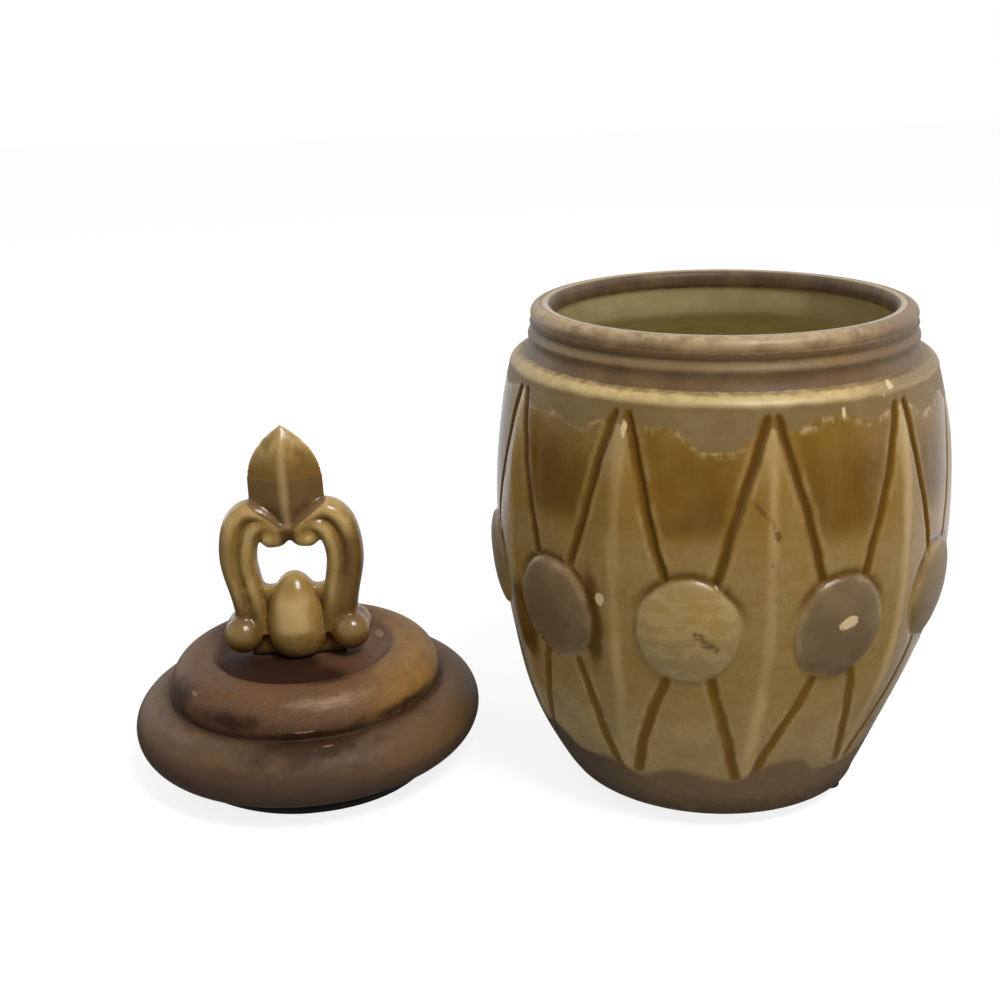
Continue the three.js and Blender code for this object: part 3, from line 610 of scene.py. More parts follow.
# Honey lead glaze on slip-cast earthenware: glassy where it lies thick, satin where stain was sponged on;
# with painted light: highlights on the ridges and beside the grooves, painted shade at the bottom and far
# left of the base, and painted light deep inside
glaze = {
    "attributes": "height groove vee boss tone ridge stain pool soil chip inside base",
    "colours": {
        "honey": "#7f6127", "olive": "#866c3b", "greyed": "#8c7650", "amber": "#6a4c10", "deep": "#553707",
        "thin": "#ab9160", "line": "#6b4d14", "core": "#573a0d", "pool": "#54390c", "soil": "#4d370f",
        "bossGrey": "#665135", "bossPale": "#93773c", "bossFoot": "#84704a", "stain": "#6f5831",
        "stainGrey": "#79653f", "ledge": "#b29a68", "lip": "#957c58", "lipWorn": "#b39a75",
        "band": "#5c4528", "bandPale": "#836c47", "base": "#6b5537", "baseShade": "#4a3822",
        "chip": "#c0a67c", "inside": "#8c7f58", "paleInsideAndPaintedLight": "#e2d6a4", "rimInside": "#4c3925"},
    "noises": {
        "broad": (46, 2, 0.5), "mid": (13, 3, 0.55), "small": (4.5, 3, 0.55), "fine": (1.6, 3, 0.6),
        "grain": (0.7, 2, 0.5), "runs": (9, 3, 0.5, 1, 1, 0.1), "daubs": (7, 3, 0.5, 0.7, 0.7, 1.6)},
    "masks": {
        "broad": {"patch": (0.4, 0.62), "broadPatch": (0.3, 0.56)}, "mid": {"mottle": (0.36, 0.7)},
        "runs": {"runMark": (0.4, 0.68)}, "daubs": {"daub": (0.47, 0.56), "softDaub": (0.42, 0.6)},
        "fine": {"fineMark": (0.42, 0.64)}, "small": {"smallMark": (0.4, 0.68)},
        ("height", "mid", 9): {"lower": (144, 128), "veeLow": (132, 146), "veeCore": (134, 144)},
        "height": {"bottom": (84, 44), "apexUp": (152, 174), "veeTop": (176, 158), "bossLow": (104, 90),
            "aboveBoss": (104, 118), "lipTop": (207.5, 211), "baseLow": (20, 4), "aboveLow": (84, 110)},
        ("ridge", "mid", 4): {"nearRidge": (9, 2), "onRidge": (4.4, 0.2)},
        "x": {"farLeft": (0.055, 0.02), "toLeft": (0.03, 0.0), "toRight": (0.115, 0.145)},
        ("vee", "mid", 5): {"inVee": (-1.0, 7.0)}, "y": {"toBack": (-0.02, 0.03)},
        ("groove", "small", 1.5): {"grooveLine": (3.3, 1.4), "grooveCore": (2.3, 0.4),
            "grooveAway": (5.2, 3.2)},
        ("boss", "small", 1.2): {"bossTop": (0.9, -1.9), "bossPool": (5.0, 1.0), "bossRim": (-3.2, -0.9),
            "bossLeft": (-9, -2), "bossRimOut": (0.6, -0.6)},
        "boss": {"offBoss": (-0.2, 1.6)}, "tone": {"paleBoss": (0.3, 1.0)},
        ("stain", "mid", 5): {"stained": (-0.8, 0.9), "stainLine": (-3.6, -0.6)},
        ("height", "mid", 2.0): {"ledge": (186.6, 189.6)},
        ("height", "small", 1.6): {"neck": (190.7, 192.2), "neckUp": (198.4, 199.8),
            "underLip": (201.8, 203.2), "lip": (204.8, 206.4)},
        ("base", "mid", 6): {"base": (-2.4, 2.6)}, ("pool", "mid", 0.7): {"pooled": (0.0, 0.45)},
        ("soil", "small", 1.6): {"soiled": (0.0, 0.7)}, ("chip", "fine", 1.0): {"chipped": (0.0, 0.2)},
        "inside": {"isInside": (0.0, 0.5), "insideDeep": (14, 60)},
        ("inside", "small", 1.6): {"insideGlaze": (6.6, 8.2)}, "grain": {"speck": (0.735, 0.755)}},
    "products": {
        "veeAmber": ("inVee", "veeLow", 0.85), "veeBand": ("veeCore", "veeTop"),
        "veeDark": ("veeBand", "broadPatch", 0.75), "bossPaint": ("bossTop", "paleBoss"),
        "bossWorn": ("bossRim", "bossRimOut", 0.35), "coreOut": ("grooveCore", "offBoss"),
        "lipLight": ("lipTop", "smallMark", 0.5)},
    "ground": "honey",
    "coats": [
        ("olive", "lower"), ("honey", "lower", "softDaub", 0.4), ("greyed", "lower", "smallMark", 0.25),
        ("greyed", "runMark", "patch", 0.35), ("greyed", "bottom", "bottom", 0.55),
        ("thin", "bottom", "mottle", 0.5), ("greyed", "mottle", "smallMark", 0.3),
        # the ridges of the lozenges are painted pale (onRidge): thin glaze there, and painted highlight,
        # strongest on the right (toRight)
        ("amber", "mottle", "fineMark", 0.25), ("thin", "onRidge", "onRidge", 0.35),
        ("thin", "onRidge", "toRight", 0.5), ("thin", "onRidge", "runMark", 0.8),
        ("thin", "apexUp", "nearRidge", 0.36), ("amber", "veeAmber"), ("honey", "veeAmber", "mottle", 0.55),
        ("deep", "veeAmber", "veeDark"), ("olive", "veeAmber", "runMark", 0.25), ("pool", "pooled"),
        # the pale border beside the grooves (grooveAway) is thin glaze at their edges, and painted highlight
        ("deep", "bossPool", "aboveBoss", 0.85), ("thin", "grooveAway", "mottle", 0.35),
        ("bossGrey", "bossTop"), ("bossPale", "bossPaint"), ("bossFoot", "bossPaint", "bossLow", 0.6),
        ("bossFoot", "bossTop", "mottle", 0.3), ("greyed", "bossPaint", "bossLeft", 0.45),
        ("thin", "bossPaint", "daub", 0.35), ("thin", "bossWorn", "mottle", 0.9),
        ("thin", "stainLine", "smallMark", 0.75), ("stain", "stained"),
        ("stainGrey", "stained", "mottle", 0.7), ("line", "grooveLine", "offBoss"),
        ("core", "coreOut", "aboveLow", 0.9), ("core", "coreOut", "mottle", 0.4), ("base", "base"),
        # painted shade: the base is darker at the very bottom, by the table (baseLow), and towards the far
        # left (farLeft)
        ("baseShade", "baseLow"), ("stainGrey", "base", "smallMark", 0.3),
        ("baseShade", "base", "farLeft", 0.8), ("soil", "soiled", "soiled", 0.75), ("ledge", "ledge"),
        ("stainGrey", "ledge", "smallMark", 0.3), ("stain", "ledge", "toLeft", 0.2),
        ("band", "ledge", "toRight", 0.75), ("band", "neck"), ("bandPale", "neck", "mottle", 0.3),
        ("bandPale", "neckUp", "neck", 0.5), ("band", "neck", "toRight", 0.8), ("band", "underLip"),
        ("lip", "lip"), ("band", "lip", "mottle", 0.6), ("lip", "lipLight"), ("lipWorn", "lipLight"),
        ("band", "lip", "toRight", 0.7), ("band", "lip", "toBack", 0.85), ("rimInside", "isInside"),
        # deeper inside (insideDeep) the glaze is painted paler: pale glaze, and painted light where the
        # hollow lies in shade
        ("bandPale", "isInside", "mottle", 0.3), ("inside", "insideGlaze"), ("paleInsideAndPaintedLight", "insideDeep"),
        ("paleInsideAndPaintedLight", "insideGlaze", "mottle", 0.1), ("chip", "speck", "stained", 0.6),
        ("chip", "chipped")],
    "roughness": [
        0.17, (0.45, "bossTop"), (0.5, "stained"), (0.12, "grooveLine"), (0.5, "base"), (0.4, "ledge"),
        (0.46, "neck"), (0.42, "lip"), (0.5, "isInside"), (0.28, "insideGlaze"), (0.7, "chipped")],
    "bumps": [
        ("mid", 0.35, 0.0009), ("runs", 0.2, 0.0005), ("fine", 0.2, 0.00022), ("chipped", 0.6, 0.0006, True)],
    "specular": 0.34,
}

makeJar(makeMaterial("honey glazed earthenware", glaze))


# Foot pads: low rubber discs under the base

pad = {"radius": 5.0, "height": 2.3, "edge": 0.6}

# Moulded rubber: nearly black, matt, faintly dusty
rubber = {
    "attributes": "", "colours": {"black": "#1d1915", "dust": "#2e2822"},
    "noises": {"dusty": (1.2, 4, 0.5)}, "masks": {}, "products": {},
    "ground": "black", "coats": [("dust", "dusty")], "roughness": [0.7],
    "bumps": [("dusty", 0.3, 0.0001)], "specular": 0.5,
}


def makePad(node, material):
    low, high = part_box(node)
    middle = (low + high) / 2 / mm
    bm = bmesh.new()
    bmesh.ops.create_cone(bm, cap_ends=True, segments=48, radius1=pad["radius"], radius2=pad["radius"],
                          depth=pad["height"])
    rims = [e for e in bm.edges if abs(e.verts[0].co.z - e.verts[1].co.z) < 1e-4]
    bmesh.ops.bevel(bm, geom=rims, offset=pad["edge"], affect="EDGES", segments=4, profile=0.5, material=-1)
    bmesh.ops.translate(bm, vec=(middle.x, middle.y, pad["height"] / 2), verts=bm.verts)
    makePiece(node.replace("foot", "pad"), bm, "jar", "dark_foot", material, node)


padRubber = makeMaterial("moulded rubber", rubber)
for node in ("foot_front_right", "foot_front_left", "foot_back"):
    makePad(node, padRubber)


# Lid: a hollow cover with a rolled brim, a smaller tier, a dish on top and a skirt that drops into the mouth

lid = {
    "axis": (-102.71, 14.5), "lean": 1.0,
    "skirtDepth": 11.3, "skirtTaper": 8.4, "skirtEdge": 1.0, "wall": 5.5,
    "brimRadius": 65.4, "brimRoll": 13.9, "creaseInset": 6.0,
    "tierInset": 18.3, "tierRise": 18.0, "tierWidth": 14.4, "tierHeight": 14.0,
    "dishDrop": 5.0, "dishInset": 12.5, "moundInset": 21.5, "moundRise": 0.8,
    "turns": 220, "gap": 1.8,  # of the mesh
}
brimHeight = lid["skirtDepth"] + lid["brimRoll"]
tierRadius = lid["brimRadius"] - lid["tierInset"]
tierHeight = brimHeight + lid["tierRise"]
skirtRadius = lid["brimRadius"] - lid["skirtTaper"]
dishHeight = tierHeight + lid["tierHeight"] - lid["dishDrop"]
moundHeight = dishHeight + lid["moundRise"]
leanGround = skirtRadius * math.sin(math.radians(lid["lean"]))
offRoll = 500  # degrees, for points that don't lie on a roll


def outsideOf(points, middle, halfWidth, halfHeight):  # the points that lie outside an oval
    return [(out, up) for out, up in points
            if math.hypot((out - middle[0]) / halfWidth, (up - middle[1]) / halfHeight) > 1]


def lidOutline():
    brim = (lid["brimRadius"], brimHeight)
    tier = (tierRadius, tierHeight)
    roll, wall, taper = lid["brimRoll"], lid["wall"], lid["skirtTaper"]
    points = [(skirtRadius - wall, 0), (skirtRadius - 3, 0), (skirtRadius - lid["skirtEdge"], 0)]
    points += [(skirtRadius - 0.3, 0.3), (skirtRadius, lid["skirtEdge"])]
    points += [(skirtRadius + taper / 2, lid["skirtDepth"] / 2)]
    points += outsideOf(arc(brim, roll, roll, -96, 130, 62), tier, lid["tierWidth"], lid["tierHeight"])
    points += outsideOf(arc(tier, lid["tierWidth"], lid["tierHeight"], -45, 112, 50), brim, roll, roll)
    dish = tierRadius - lid["dishInset"]
    mound = tierRadius - lid["moundInset"]
    points += [(dish + 2.4, dishHeight + 0.7), (dish, dishHeight + 0.15), (dish - 3, dishHeight)]
    points += [(mound + 3, dishHeight), (mound + 1, dishHeight + 0.3), (mound - 1, moundHeight - 0.1)]
    points += [(mound - 4, moundHeight), (0, moundHeight)]
    ceiling = dishHeight - wall
    mouth = skirtRadius - wall
    crease = lid["brimRadius"] - lid["creaseInset"]
    under = [(mouth, 0.6), (mouth + taper / 2, lid["skirtDepth"] * 0.7)]
    under += arc((lid["brimRadius"] - 1, brimHeight), roll - wall, roll - wall, -70, 100, 20)
    under += [(crease - wall * 1.3, tierHeight - wall), (tierRadius + wall / 2, ceiling - 2.7)]
    under += [(tierRadius, ceiling - 0.8), (tierRadius - wall, ceiling), (0, ceiling)]
    return spaced(list(reversed(under)) + points, lid["gap"])


def standLid(bm):  # leans the lid to the left and grinds its skirt level with the table
    lean = Matrix.Rotation(math.radians(-lid["lean"]), 4, "Y")
    bmesh.ops.transform(bm, matrix=lean, verts=bm.verts)
    for vert in bm.verts:
        vert.co.z = max(vert.co.z, leanGround) - leanGround
    bmesh.ops.translate(bm, vec=(lid["axis"][0], lid["axis"][1], 0), verts=bm.verts)


# marks on the lid: part, degrees round the lid from its front, degrees round the roll, half sizes in degrees
lidMarks = {
    # smear: dark smears of stain, and painted shade on the left of the tier, along its foot and at the front
    # of its top
    "smear": [("tier", -26, 12, 34, 30), ("tier", -58, 30, 20, 60), ("tier", 8, -10, 50, 16),
              ("tier", 22, 100, 26, 22), ("tier", 52, 0, 40, 20), ("tier", 150, 20, 30, 34)],
    "sheen": [("tier", 17, 46, 26, 18), ("brim", -45, 62, 14, 16)],
    "bare": [("tier", 6, -2, 6, 2.2), ("brim", 14, 76, 2.6, 2.4), ("tier", -49, 39, 2.2, 4),
             ("brim", 116, 78, 2, 4), ("tier", 116, 133, 8, 7), ("brim", -150, 60, 4, 5)],
}


def readVectors(items, name):
    values = np.empty(len(items) * 3)
    items.foreach_get(name, values)
    return values.reshape(-1, 3)


def hollowness(mesh, passes, gain):
    # how hollow the surface is round each point: above 0 in creases, below 0 on rounded edges
    place = readVectors(mesh.vertices, "co")
    normal = readVectors(mesh.vertex_normals, "vector")
    ends = np.empty(len(mesh.edges) * 2, np.int64)
    mesh.edges.foreach_get("vertices", ends)
    ends = ends.reshape(-1, 2)
    start, end = np.concatenate([ends, ends[:, ::-1]]).T
    count = len(place)
    number = np.bincount(start, minlength=count)
    moved = place.copy()
    for _ in range(passes):
        sums = [np.bincount(start, weights=moved[end, axis], minlength=count) for axis in range(3)]
        moved = np.stack(sums, 1) / number[:, None]
    return np.clip(((moved - place) * normal).sum(1) / mm * gain, -1, 1)


def lidField(kind, azimuth, girths):  # 1 in the middle of the nearest mark of this kind, 0 at its edge
    field = np.full(len(azimuth), -1.0)
    for part, middle, girth, halfAzimuth, halfGirth in lidMarks[kind]:
        reach = np.hypot(turnedFrom(azimuth, middle) / halfAzimuth, (girths[part] - girth) / halfGirth)
        field = np.maximum(field, 1 - reach)
    return field


def makeLid(material):
    bm = spinOutline(lidOutline(), lid["turns"])
    x, y, height = placesOf(bm)
    standLid(bm)
    piece = makePiece("lid", bm, "lid", "brown_stain", material, "lid_shell")
    mesh = piece.data
    azimuth = turnedFrom(np.degrees(np.arctan2(y, x)), -90)
    across = np.hypot(x, y)
    rolls = {"brim": (lid["brimRadius"], brimHeight, lid["brimRoll"], lid["brimRoll"]),
             "tier": (tierRadius, tierHeight, lid["tierWidth"], lid["tierHeight"])}
    girths = {}
    for part, (radius, middle, wide, high) in rolls.items():
        out, up = (across - radius) / wide, (height - middle) / high
        reach = np.hypot(out, up)
        turned = np.degrees(np.arctan2(up, out))
        girths[part] = np.where((reach > 0.93) & (turned > -100), turned, offRoll)
    girths["brim"] = np.where(reach < 1.02, offRoll, girths["brim"])  # reach is the tier's here
    facing = np.array([n.vector.z for n in mesh.vertex_normals])
    inDish = smooth(tierRadius - across, 2, 10) * smooth(height, dishHeight - 3, dishHeight - 1)
    offMound = 1 - smooth(tierRadius - lid["moundInset"] + 2 - across, 0, 8)
    # painted shade fills the dish at the front of the lid only (front)
    front = smooth(np.cos(np.radians(azimuth + 20)), 0.2, 0.8)
    addAttributes(piece, {
        "hollow": hollowness(mesh, passes=18, gain=2.2) * (1 - 0.8 * inDish),
        "dish": inDish * (0.7 + 0.3 * offMound) * front,
        "brimTurn": girths["brim"], "tierTurn": girths["tier"],
        # painted shade: the underside and the skirt below the brim are painted nearly black (under)
        "under": smooth(-facing, 0.88, 0.99) * smooth(-height, -22, -8) + smooth(-height, -11.5, -9)})
    addAttributes(piece, {kind: lidField(kind, azimuth, girths) for kind in lidMarks})


# Fired clay rubbed with brown stain: matt, ochre where hands wore it, dark where the stain gathered; with
# painted light: ochre on the right side, highlights on the brim's top and the tier's front (sheen), and
# painted shade on the brim's lower half, the tier's foot and left side, the front of the dish, the underside
# and the skirt
stain = {
    "attributes": "hollow under dish brimTurn tierTurn smear sheen bare",
    "colours": {
        "brown": "#593e29", "warm": "#69462b", "ochre": "#926b34", "pale": "#8b6c50", "grey": "#5c4b38",
        "shade": "#46362a", "dark": "#2b180c", "under": "#080504", "fleck": "#b0967a", "bare": "#866a55"},
    "noises": {
        "broad": (38, 3, 0.5), "mid": (9, 4, 0.6), "fine": (1.4, 4, 0.6), "grain": (0.7, 2, 0.5),
        "wiped": (7, 4, 0.6, 1, 1, 2.6)},
    "masks": {
        "broad": {"blotch": (0.4, 0.6)}, "mid": {"mottle": (0.42, 0.62)}, "wiped": {"wipe": (0.42, 0.62)},
        "fine": {"fineMark": (0.45, 0.7)}, "grain": {"speck": (0.765, 0.78)},
        "x": {"toRight": (-0.084, -0.044)}, "hollow": {"rubbed": (0.1, -0.7), "gathered": (0.35, 1.0)},
        "under": {"shaded": (0.0, 1.0)}, ("brimTurn", "mid", 26): {"brimLow": (12, -6), "brimTop": (8, 40)},
        "brimTurn": {"brimFoot": (-20, -70), "onBrim": (112, 76)},
        ("tierTurn", "mid", 30): {"tierLow": (30, -18)}, ("smear", "mid", 1.2): {"smearedAndShaded": (0.0, 0.9)},
        ("sheen", "wiped", 1.4): {"shining": (0.0, 1.2)}, ("bare", "fine", 1.2): {"bared": (0.0, 0.2)},
        ("dish", "mid", 0.6): {"inDish": (0.0, 0.85)}},
    "products": {
        "brimHighlight": ("brimTop", "onBrim")},
    "ground": "brown",
    "coats": [
        ("warm", "blotch", "rubbed", 0.8), ("warm", "wipe", "rubbed", 0.4),
        # painted light: the right side, towards the lamp, is painted ochre (toRight), over the wear on its
        # rubbed parts
        ("ochre", "toRight", "rubbed", 0.95), ("ochre", "toRight", "wipe", 0.5),
        # painted highlight along the top of the brim
        ("grey", "mottle", "rubbed", 0.35), ("pale", "brimHighlight", "brimHighlight", 0.4),
        ("ochre", "brimHighlight", "wipe", 0.45), ("pale", "rubbed", "fineMark", 0.2),
        ("pale", "shining", "rubbed", 0.7), ("pale", "shining", "wipe", 0.5),
        ("shade", "brimLow", "brimLow", 0.75), ("warm", "brimLow", "mottle", 0.3),
        ("shade", "brimFoot", "brimFoot", 0.3), ("shade", "tierLow", "tierLow", 0.7),
        # painted shade: the dark in the front of the dish (inDish), and the smears on the tier's shaded parts
        # (smeared)
        ("dark", "smearedAndShaded", "smearedAndShaded", 0.85), ("dark", "inDish"), ("dark", "gathered", "gathered", 0.35),
        ("under", "shaded"), ("fleck", "speck", "rubbed", 0.5), ("bare", "bared")],
    "roughness": [
        0.5, (0.38, "shining"), (0.62, "inDish"), (0.7, "bared")],
    "bumps": [("fine", 0.35, 0.0002), ("wiped", 0.25, 0.0005)],
    "specular": 0.15,
}

makeLid(makeMaterial("stained bisque clay", stain))


# Finial: one pierced casting of two-roll arms, curls, keeled bud, egg and balls

finial = {
    "shift": -1.9, "lift": moundHeight + 0.3,
    "eggRadius": 14.2, "eggBelly": 14.0, "eggHeight": 40.0, "eggFoot": 1.26, "eggTaper": 1.5,
    "ballRadius": 8.9, "ballSpread": 24.6, "ballDepth": 4.2, "ballLift": 2.6,
    "rollRadius": 4.7, "rollDepth": 7.2, "rollSpacing": 7.6,
    "armFoot": 8.0, "armBowHeight": 46.0, "armBow": 28.0, "armTuck": 2.8, "archHeight": 66.0,
    "curlHeight": 56.0, "curlSpread": 9.5, "curlRadius": 4.5, "curlEndProud": 0.5,
    "webThickness": 7.0, "webHeight": 33.0, "webRise": 4.0, "knotRadius": 6.5,
    "budPoint": 62.0, "budShoulder": 73.5, "budWide": 77.5, "budTaper": 31.2,
    "budHalfWidth": 17.2, "budKeel": 9.0, "budPointWidth": 0.14, "budCurve": 2.8, "budSquare": 0.8,
    "voxel": 0.6, "softening": 3, "armSoftening": 9,
}


def curvePoints(corners, steps):  # a smooth line through the corners, as a chain of cubic pieces
    points = [Vector(c) for c in corners]
    points = [points[0] * 2 - points[1]] + points + [points[-1] * 2 - points[-2]]
    line = []
    pieces = len(corners) - 1
    for step in range(steps + 1):
        along = min(step / steps * pieces, pieces - tiny)
        index = int(along)
        t = along - index
        a, b, c, d = points[index:index + 4]
        line.append(0.5 * ((2 * b) + (c - a) * t + (2 * a - 5 * b + 4 * c - d) * t ** 2
                           + (3 * b - a - 3 * c + d) * t ** 3))
    return line


def addRoll(bm, corners, steps):
    # an oval section drawn along a line in the plane of the finial, closed at both ends
    line = curvePoints(corners, steps)
    ring = bmesh.ops.create_circle(bm, cap_ends=False, segments=28, radius=1)["verts"]
    angles = [math.atan2(v.co.y, v.co.x) for v in ring]
    edges = list({e for v in ring for e in v.link_edges})
    firstEdges = edges
    for index, middle in enumerate(line):
        ahead = line[min(index + 1, steps)] - line[max(index - 1, 0)]
        out = Vector((ahead.y, -ahead.x)).normalized()
        if index:
            made = bmesh.ops.extrude_edge_only(bm, edges=edges)["geom"]
            fresh = [g for g in made if isinstance(g, bmesh.types.BMVert)]
            order = {tuple(v.co): angle for v, angle in zip(ring, angles)}
            angles = [order[tuple(v.co)] for v in fresh]
            ring = fresh
            known = set(fresh)
            edges = [g for g in made if isinstance(g, bmesh.types.BMEdge) and set(g.verts) <= known]
        for vert, angle in zip(ring, angles):
            wide = finial["rollRadius"] * math.cos(angle)
            deep = finial["rollDepth"] * math.sin(angle)
            vert.co = (middle.x + out.x * wide, deep, middle.y + out.y * wide)
    bmesh.ops.contextual_create(bm, geom=firstEdges)
    bmesh.ops.contextual_create(bm, geom=edges)


def addBall(bm, middle, radii):
    verts = bmesh.ops.create_uvsphere(bm, u_segments=40, v_segments=24, radius=1)["verts"]
    bmesh.ops.scale(bm, vec=radii, verts=verts)
    bmesh.ops.translate(bm, vec=middle, verts=verts)


def addArm(bm, side):  # two rolls side by side; their corners go from the foot over the top to the curl
    bow, bowHeight, tuck = finial["armBow"], finial["armBowHeight"], finial["armTuck"]
    foot, arch, roll = finial["armFoot"], finial["archHeight"], finial["rollRadius"]
    outer = [(bow - 2.3 * tuck, foot), (bow - 1.3 * tuck, bowHeight * 0.6), (bow, bowHeight),
             (bow - 0.7 * tuck, arch - roll), (bow - 2.8 * tuck, arch + tuck),
             (bow - 5.5 * tuck, arch + tuck), (bow - 9 * tuck, arch - 2 * tuck)]
    bow -= finial["rollSpacing"]
    curl, spread, turn = finial["curlHeight"], finial["curlSpread"], finial["curlRadius"]
    inner = [(bow - 1.6 * tuck, foot + tuck), (bow - tuck, bowHeight * 0.6), (bow, bowHeight),
             (bow - tuck, curl + turn / 2), (spread + tuck, curl + turn + tuck),
             (spread - turn, curl + turn + 1), (spread - turn, curl + 1), (spread - 1, curl + 1)]
    for corners, steps in ((outer, 46), (inner, 52)):
        addRoll(bm, [(side * across, up) for across, up in corners], steps)
    end = roll + finial["curlEndProud"]
    addBall(bm, (side * (spread - 1), 0, curl + 1), (end, finial["rollDepth"] + finial["curlEndProud"], end))


def addEgg(bm):
    belly = finial["eggBelly"]
    outline = [(0.0, 0.0)]
    for height in np.linspace(0, finial["eggHeight"], 41):
        below = max(belly - height, 0) / (belly * finial["eggFoot"])
        above = max(height - belly, 0) / (finial["eggHeight"] - belly)
        part = math.sqrt(1 - below ** 2 - min(above, 1) ** finial["eggTaper"])
        outline.append((finial["eggRadius"] * part, height))
    absorb(bm, toMesh(spinOutline(outline, 56), "egg"))


def budRing(height, corner):  # the point of the bud's section at this height and angle
    above = max(height - finial["budWide"], 0) / finial["budTaper"]
    below = max(finial["budShoulder"] - height, 0) / (finial["budShoulder"] - finial["budPoint"])
    taper = 1 - min(above, 0.9999) ** finial["budCurve"]
    halfWidth = finial["budHalfWidth"] * taper * (1 - (1 - finial["budPointWidth"]) * below)
    halfDepth = finial["budKeel"] * taper * (1 - 0.3 * below)
    across, out = math.cos(corner), math.sin(corner)
    fill = (abs(across) + abs(out)) ** -finial["budSquare"]
    return halfWidth * across * fill, halfDepth * out * fill


def addBud(bm):
    # a turned tube whose rings are squared to a keeled, leaf-like section
    wide = finial["budWide"]
    heights = list(np.linspace(finial["budPoint"], wide, 14))
    heights += [wide + finial["budTaper"] * math.sin(a) for a in np.linspace(0, math.pi / 2, 34)[1:]]
    outline = [(0, heights[0])] + [(1, h) for h in heights[:-1]] + [(0, heights[-1])]
    bud = spinOutline(outline, 72)
    for vert in bud.verts:
        if math.hypot(vert.co.x, vert.co.y) > 0.5:
            vert.co.x, vert.co.y = budRing(vert.co.z, math.atan2(vert.co.y, vert.co.x))
    absorb(bm, toMesh(bud, "bud"))


def addWeb(bm):  # the thin wall between the egg and the arms; its top dips beside the egg
    known = len(bm.verts)
    verts = bmesh.ops.create_cube(bm, size=1)["verts"]
    edges = {edge for vert in verts for edge in vert.link_edges}
    along = [edge for edge in edges if abs(edge.verts[0].co.x - edge.verts[1].co.x) > 0.5]
    bmesh.ops.subdivide_edges(bm, edges=along, cuts=27, use_grid_fill=True)
    halfFoot = finial["ballSpread"] - finial["armTuck"]
    halfTop = finial["armBow"] - finial["rollSpacing"] - finial["armTuck"]
    rise = finial["webRise"]
    for vert in list(bm.verts)[known:]:
        part = vert.co.x * 2
        beside = min(max((abs(part) * halfTop - rise) / (halfTop - rise), 0), 1)
        top = finial["webHeight"] + rise - 4 * rise * beside * (1 - beside)
        half, height = (halfTop, top) if vert.co.z > 0 else (halfFoot, 0)
        vert.co = (part * half, vert.co.y * finial["webThickness"], height)


def soften(bm, verts, passes):
    for _ in range(passes):
        bmesh.ops.smooth_vert(bm, verts=verts, factor=0.5, use_axis_x=True, use_axis_y=True, use_axis_z=True)


def fused(bm):  # the parts are fused like one casting
    parts = addObject("finial parts", toMesh(bm, "finial parts"))
    remesh = parts.modifiers.new("fuse", "REMESH")
    remesh.mode = "VOXEL"
    remesh.voxel_size = finial["voxel"]
    graph = bpy.context.evaluated_depsgraph_get()
    mesh = bpy.data.meshes.new_from_object(parts.evaluated_get(graph))
    bpy.data.objects.remove(parts)
    bm = bmesh.new()
    absorb(bm, mesh)
    return bm


def makeFinial(material):
    bm = bmesh.new()
    addEgg(bm)
    ball, knot = finial["ballRadius"], finial["knotRadius"]
    for side in (-1, 1):
        for face in (-1, 1):
            middle = (side * finial["ballSpread"], face * finial["ballDepth"], ball + finial["ballLift"])
            addBall(bm, middle, (ball,) * 3)
        addArm(bm, side)
    addBud(bm)
    addWeb(bm)
    addBall(bm, (0, 0, finial["curlHeight"] + knot - 1), (knot,) * 3)
    bmesh.ops.recalc_face_normals(bm, faces=bm.faces)
    bm = fused(bm)
    soften(bm, bm.verts, finial["softening"])
    soften(bm, [vert for vert in bm.verts if vert.co.z < finial["budPoint"] + 2], finial["armSoftening"])
    for vert in bm.verts:
        vert.co.z = max(vert.co.z, 0)
    across, _, up = placesOf(bm)
    bmesh.ops.translate(bm, vec=(finial["shift"], 0, finial["lift"]), verts=bm.verts)
    standLid(bm)
    piece = makePiece("pierced_finial", bm, "lid", "amber_glaze", material, "finial")
    aside = np.abs(across)
    point = finial["budPoint"]
    budHalf = np.array([budRing(max(height, point), 0)[0] for height in up])
    addAttributes(piece, {
        "across": across, "aside": aside, "up": up,
        "onEgg": (1 - smooth(aside, 4, 13)) * smooth(up, 11, 16) * (1 - smooth(up, 27, 37)),
        "onBud": smooth(budHalf + 0.8 - aside, 0, 1.2) * smooth(up, point - 1, point + 1),
        "hollow": hollowness(piece.data, passes=24, gain=1.4),
        "crease": hollowness(piece.data, passes=12, gain=3)})
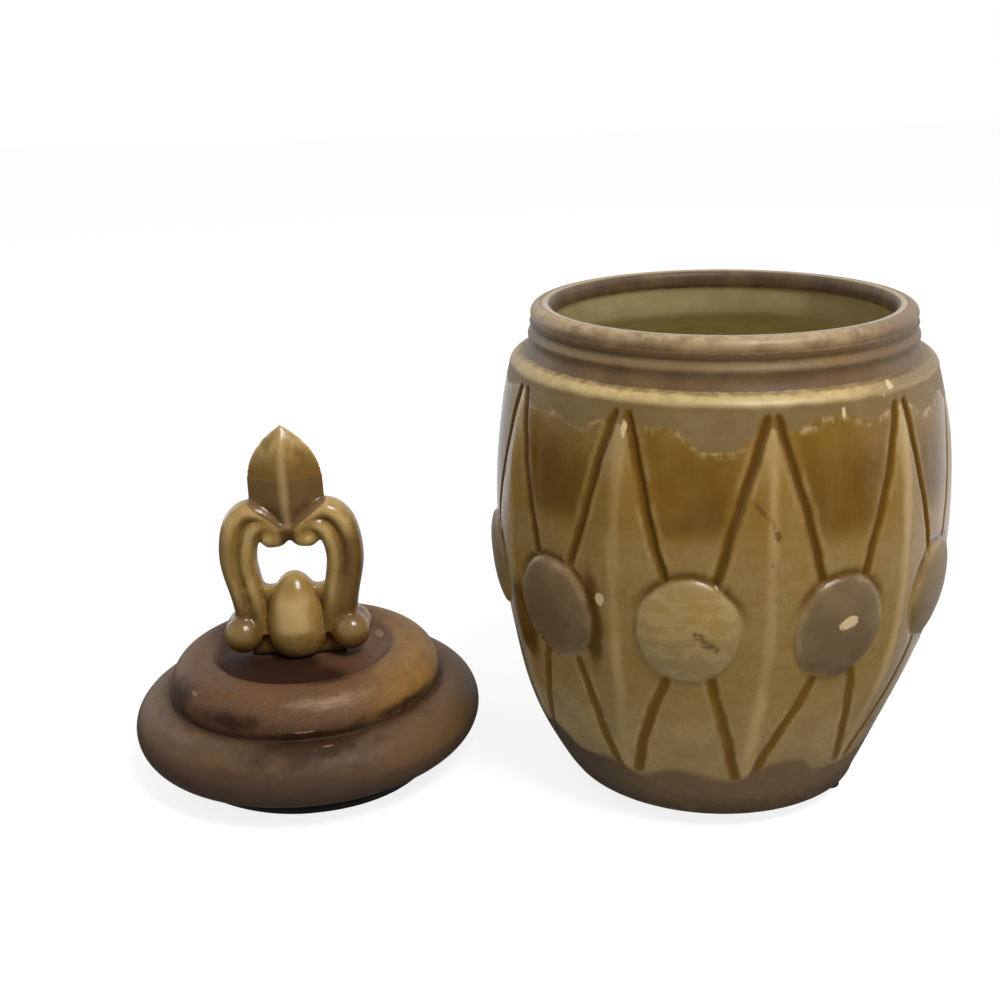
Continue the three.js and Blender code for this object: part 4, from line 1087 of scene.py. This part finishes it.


# Transparent amber glaze on pale clay: glassy, brown where it runs together, pale on the raised parts; with
# painted shade on the arms' outer sides and low parts and at the foot, and painted highlights on the arches,
# the bud's top, the balls and the egg
amber = {
    "attributes": "hollow crease aside across up onBud onEgg",
    "colours": {
        "ochre": "#8d6f38", "pale": "#bda067", "brown": "#593d16", "pool": "#432708", "budDark": "#60472a",
        "budBrown": "#6a4d1f", "keel": "#a88d5d", "foot": "#2b1808", "glow": "#c49a5e"},
    "noises": {
        "broad": (20, 3, 0.5), "mid": (6, 4, 0.6), "runs": (5, 3, 0.5, 1, 1, 0.25)},
    "masks": {
        "broad": {"blotch": (0.4, 0.6)}, "mid": {"mottle": (0.42, 0.64)}, "runs": {"runMark": (0.42, 0.64)},
        "hollow": {"raised": (-0.1, -0.75), "pooled": (0.1, 0.9)}, "crease": {"creased": (0.3, 1.0)},
        ("aside", "runs", 2.0): {"onKeel": (3.2, 0.4)},
        ("up", "mid", 2.5): {"bud": (84, 86), "budLow": (86, 84)},
        "up": {"budFade": (102, 86), "budTip": (92, 104), "low": (52, 20), "belowArch": (65, 54),
            "footDark": (3.6, 0.4), "nearFoot": (11, 3), "armFoot": (34, 20), "knotUp": (64, 60),
            "knotDown": (52, 56), "archUp": (62, 74), "webUp": (40, 33), "overBalls": (17, 23),
            "ballUp": (9, 14), "ballDown": (19, 16)},
        ("across", "runs", 6): {"onRight": (17, 27), "onLeft": (-20, -30)},
        "aside": {"notEgg": (8, 14), "onArm": (12, 18), "knot": (6, 2), "webIn": (19, 15),
            "ballSide": (18, 22)},
        "onBud": {"offBud": (0.5, 0.0)}},
    "products": {
        "archOut": ("archUp", "offBud"), "webPool": ("webUp", "webIn"), "ballBand": ("ballUp", "ballDown"),
        "sideBand": ("belowArch", "overBalls"), "knotBand": ("knot", "knotUp")},
    "ground": "ochre",
    "coats": [
        ("brown", "blotch", "mottle", 0.65), ("pale", "raised", "raised", 0.55),
        ("pale", "raised", "runMark", 0.6), ("budBrown", "bud", "budFade", 0.8),
        # painted highlight on the top of the bud (budTip)
        ("pale", "budTip", "runMark", 0.6), ("budDark", "budLow", "onBud", 0.85),
        ("keel", "onKeel", "onBud", 0.6), ("brown", "low", "runMark", 0.3),
        # painted shade: brown on the outer sides of the arms (onLeft, onRight), low on the arms (armFoot) and
        # near the foot (nearFoot)
        ("brown", "onLeft", "sideBand", 0.5), ("brown", "onRight", "sideBand", 0.85),
        ("brown", "armFoot", "onArm", 0.75), ("brown", "nearFoot", "notEgg", 0.75),
        # painted highlight on the upper sides of the balls (ballBand); the egg's middle is pale glaze with
        # painted highlight (onEgg)
        ("keel", "ballBand", "ballSide", 0.25), ("pale", "onEgg", "onEgg", 0.75),
        # painted highlight on the tops of the arches (glow, archOut)
        ("glow", "archOut", "blotch", 0.6), ("brown", "pooled", "pooled", 0.45),
        ("pool", "creased", "creased", 0.3), ("pool", "creased", "webPool", 0.85),
        # painted shade where the finial stands on the lid (footDark)
        ("pool", "knotBand", "knotDown", 0.8), ("foot", "footDark")],
    "roughness": [0.2], "bumps": [("mid", 0.25, 0.0004)], "specular": 0.42,
}

makeFinial(makeMaterial("amber glazed casting", amber))
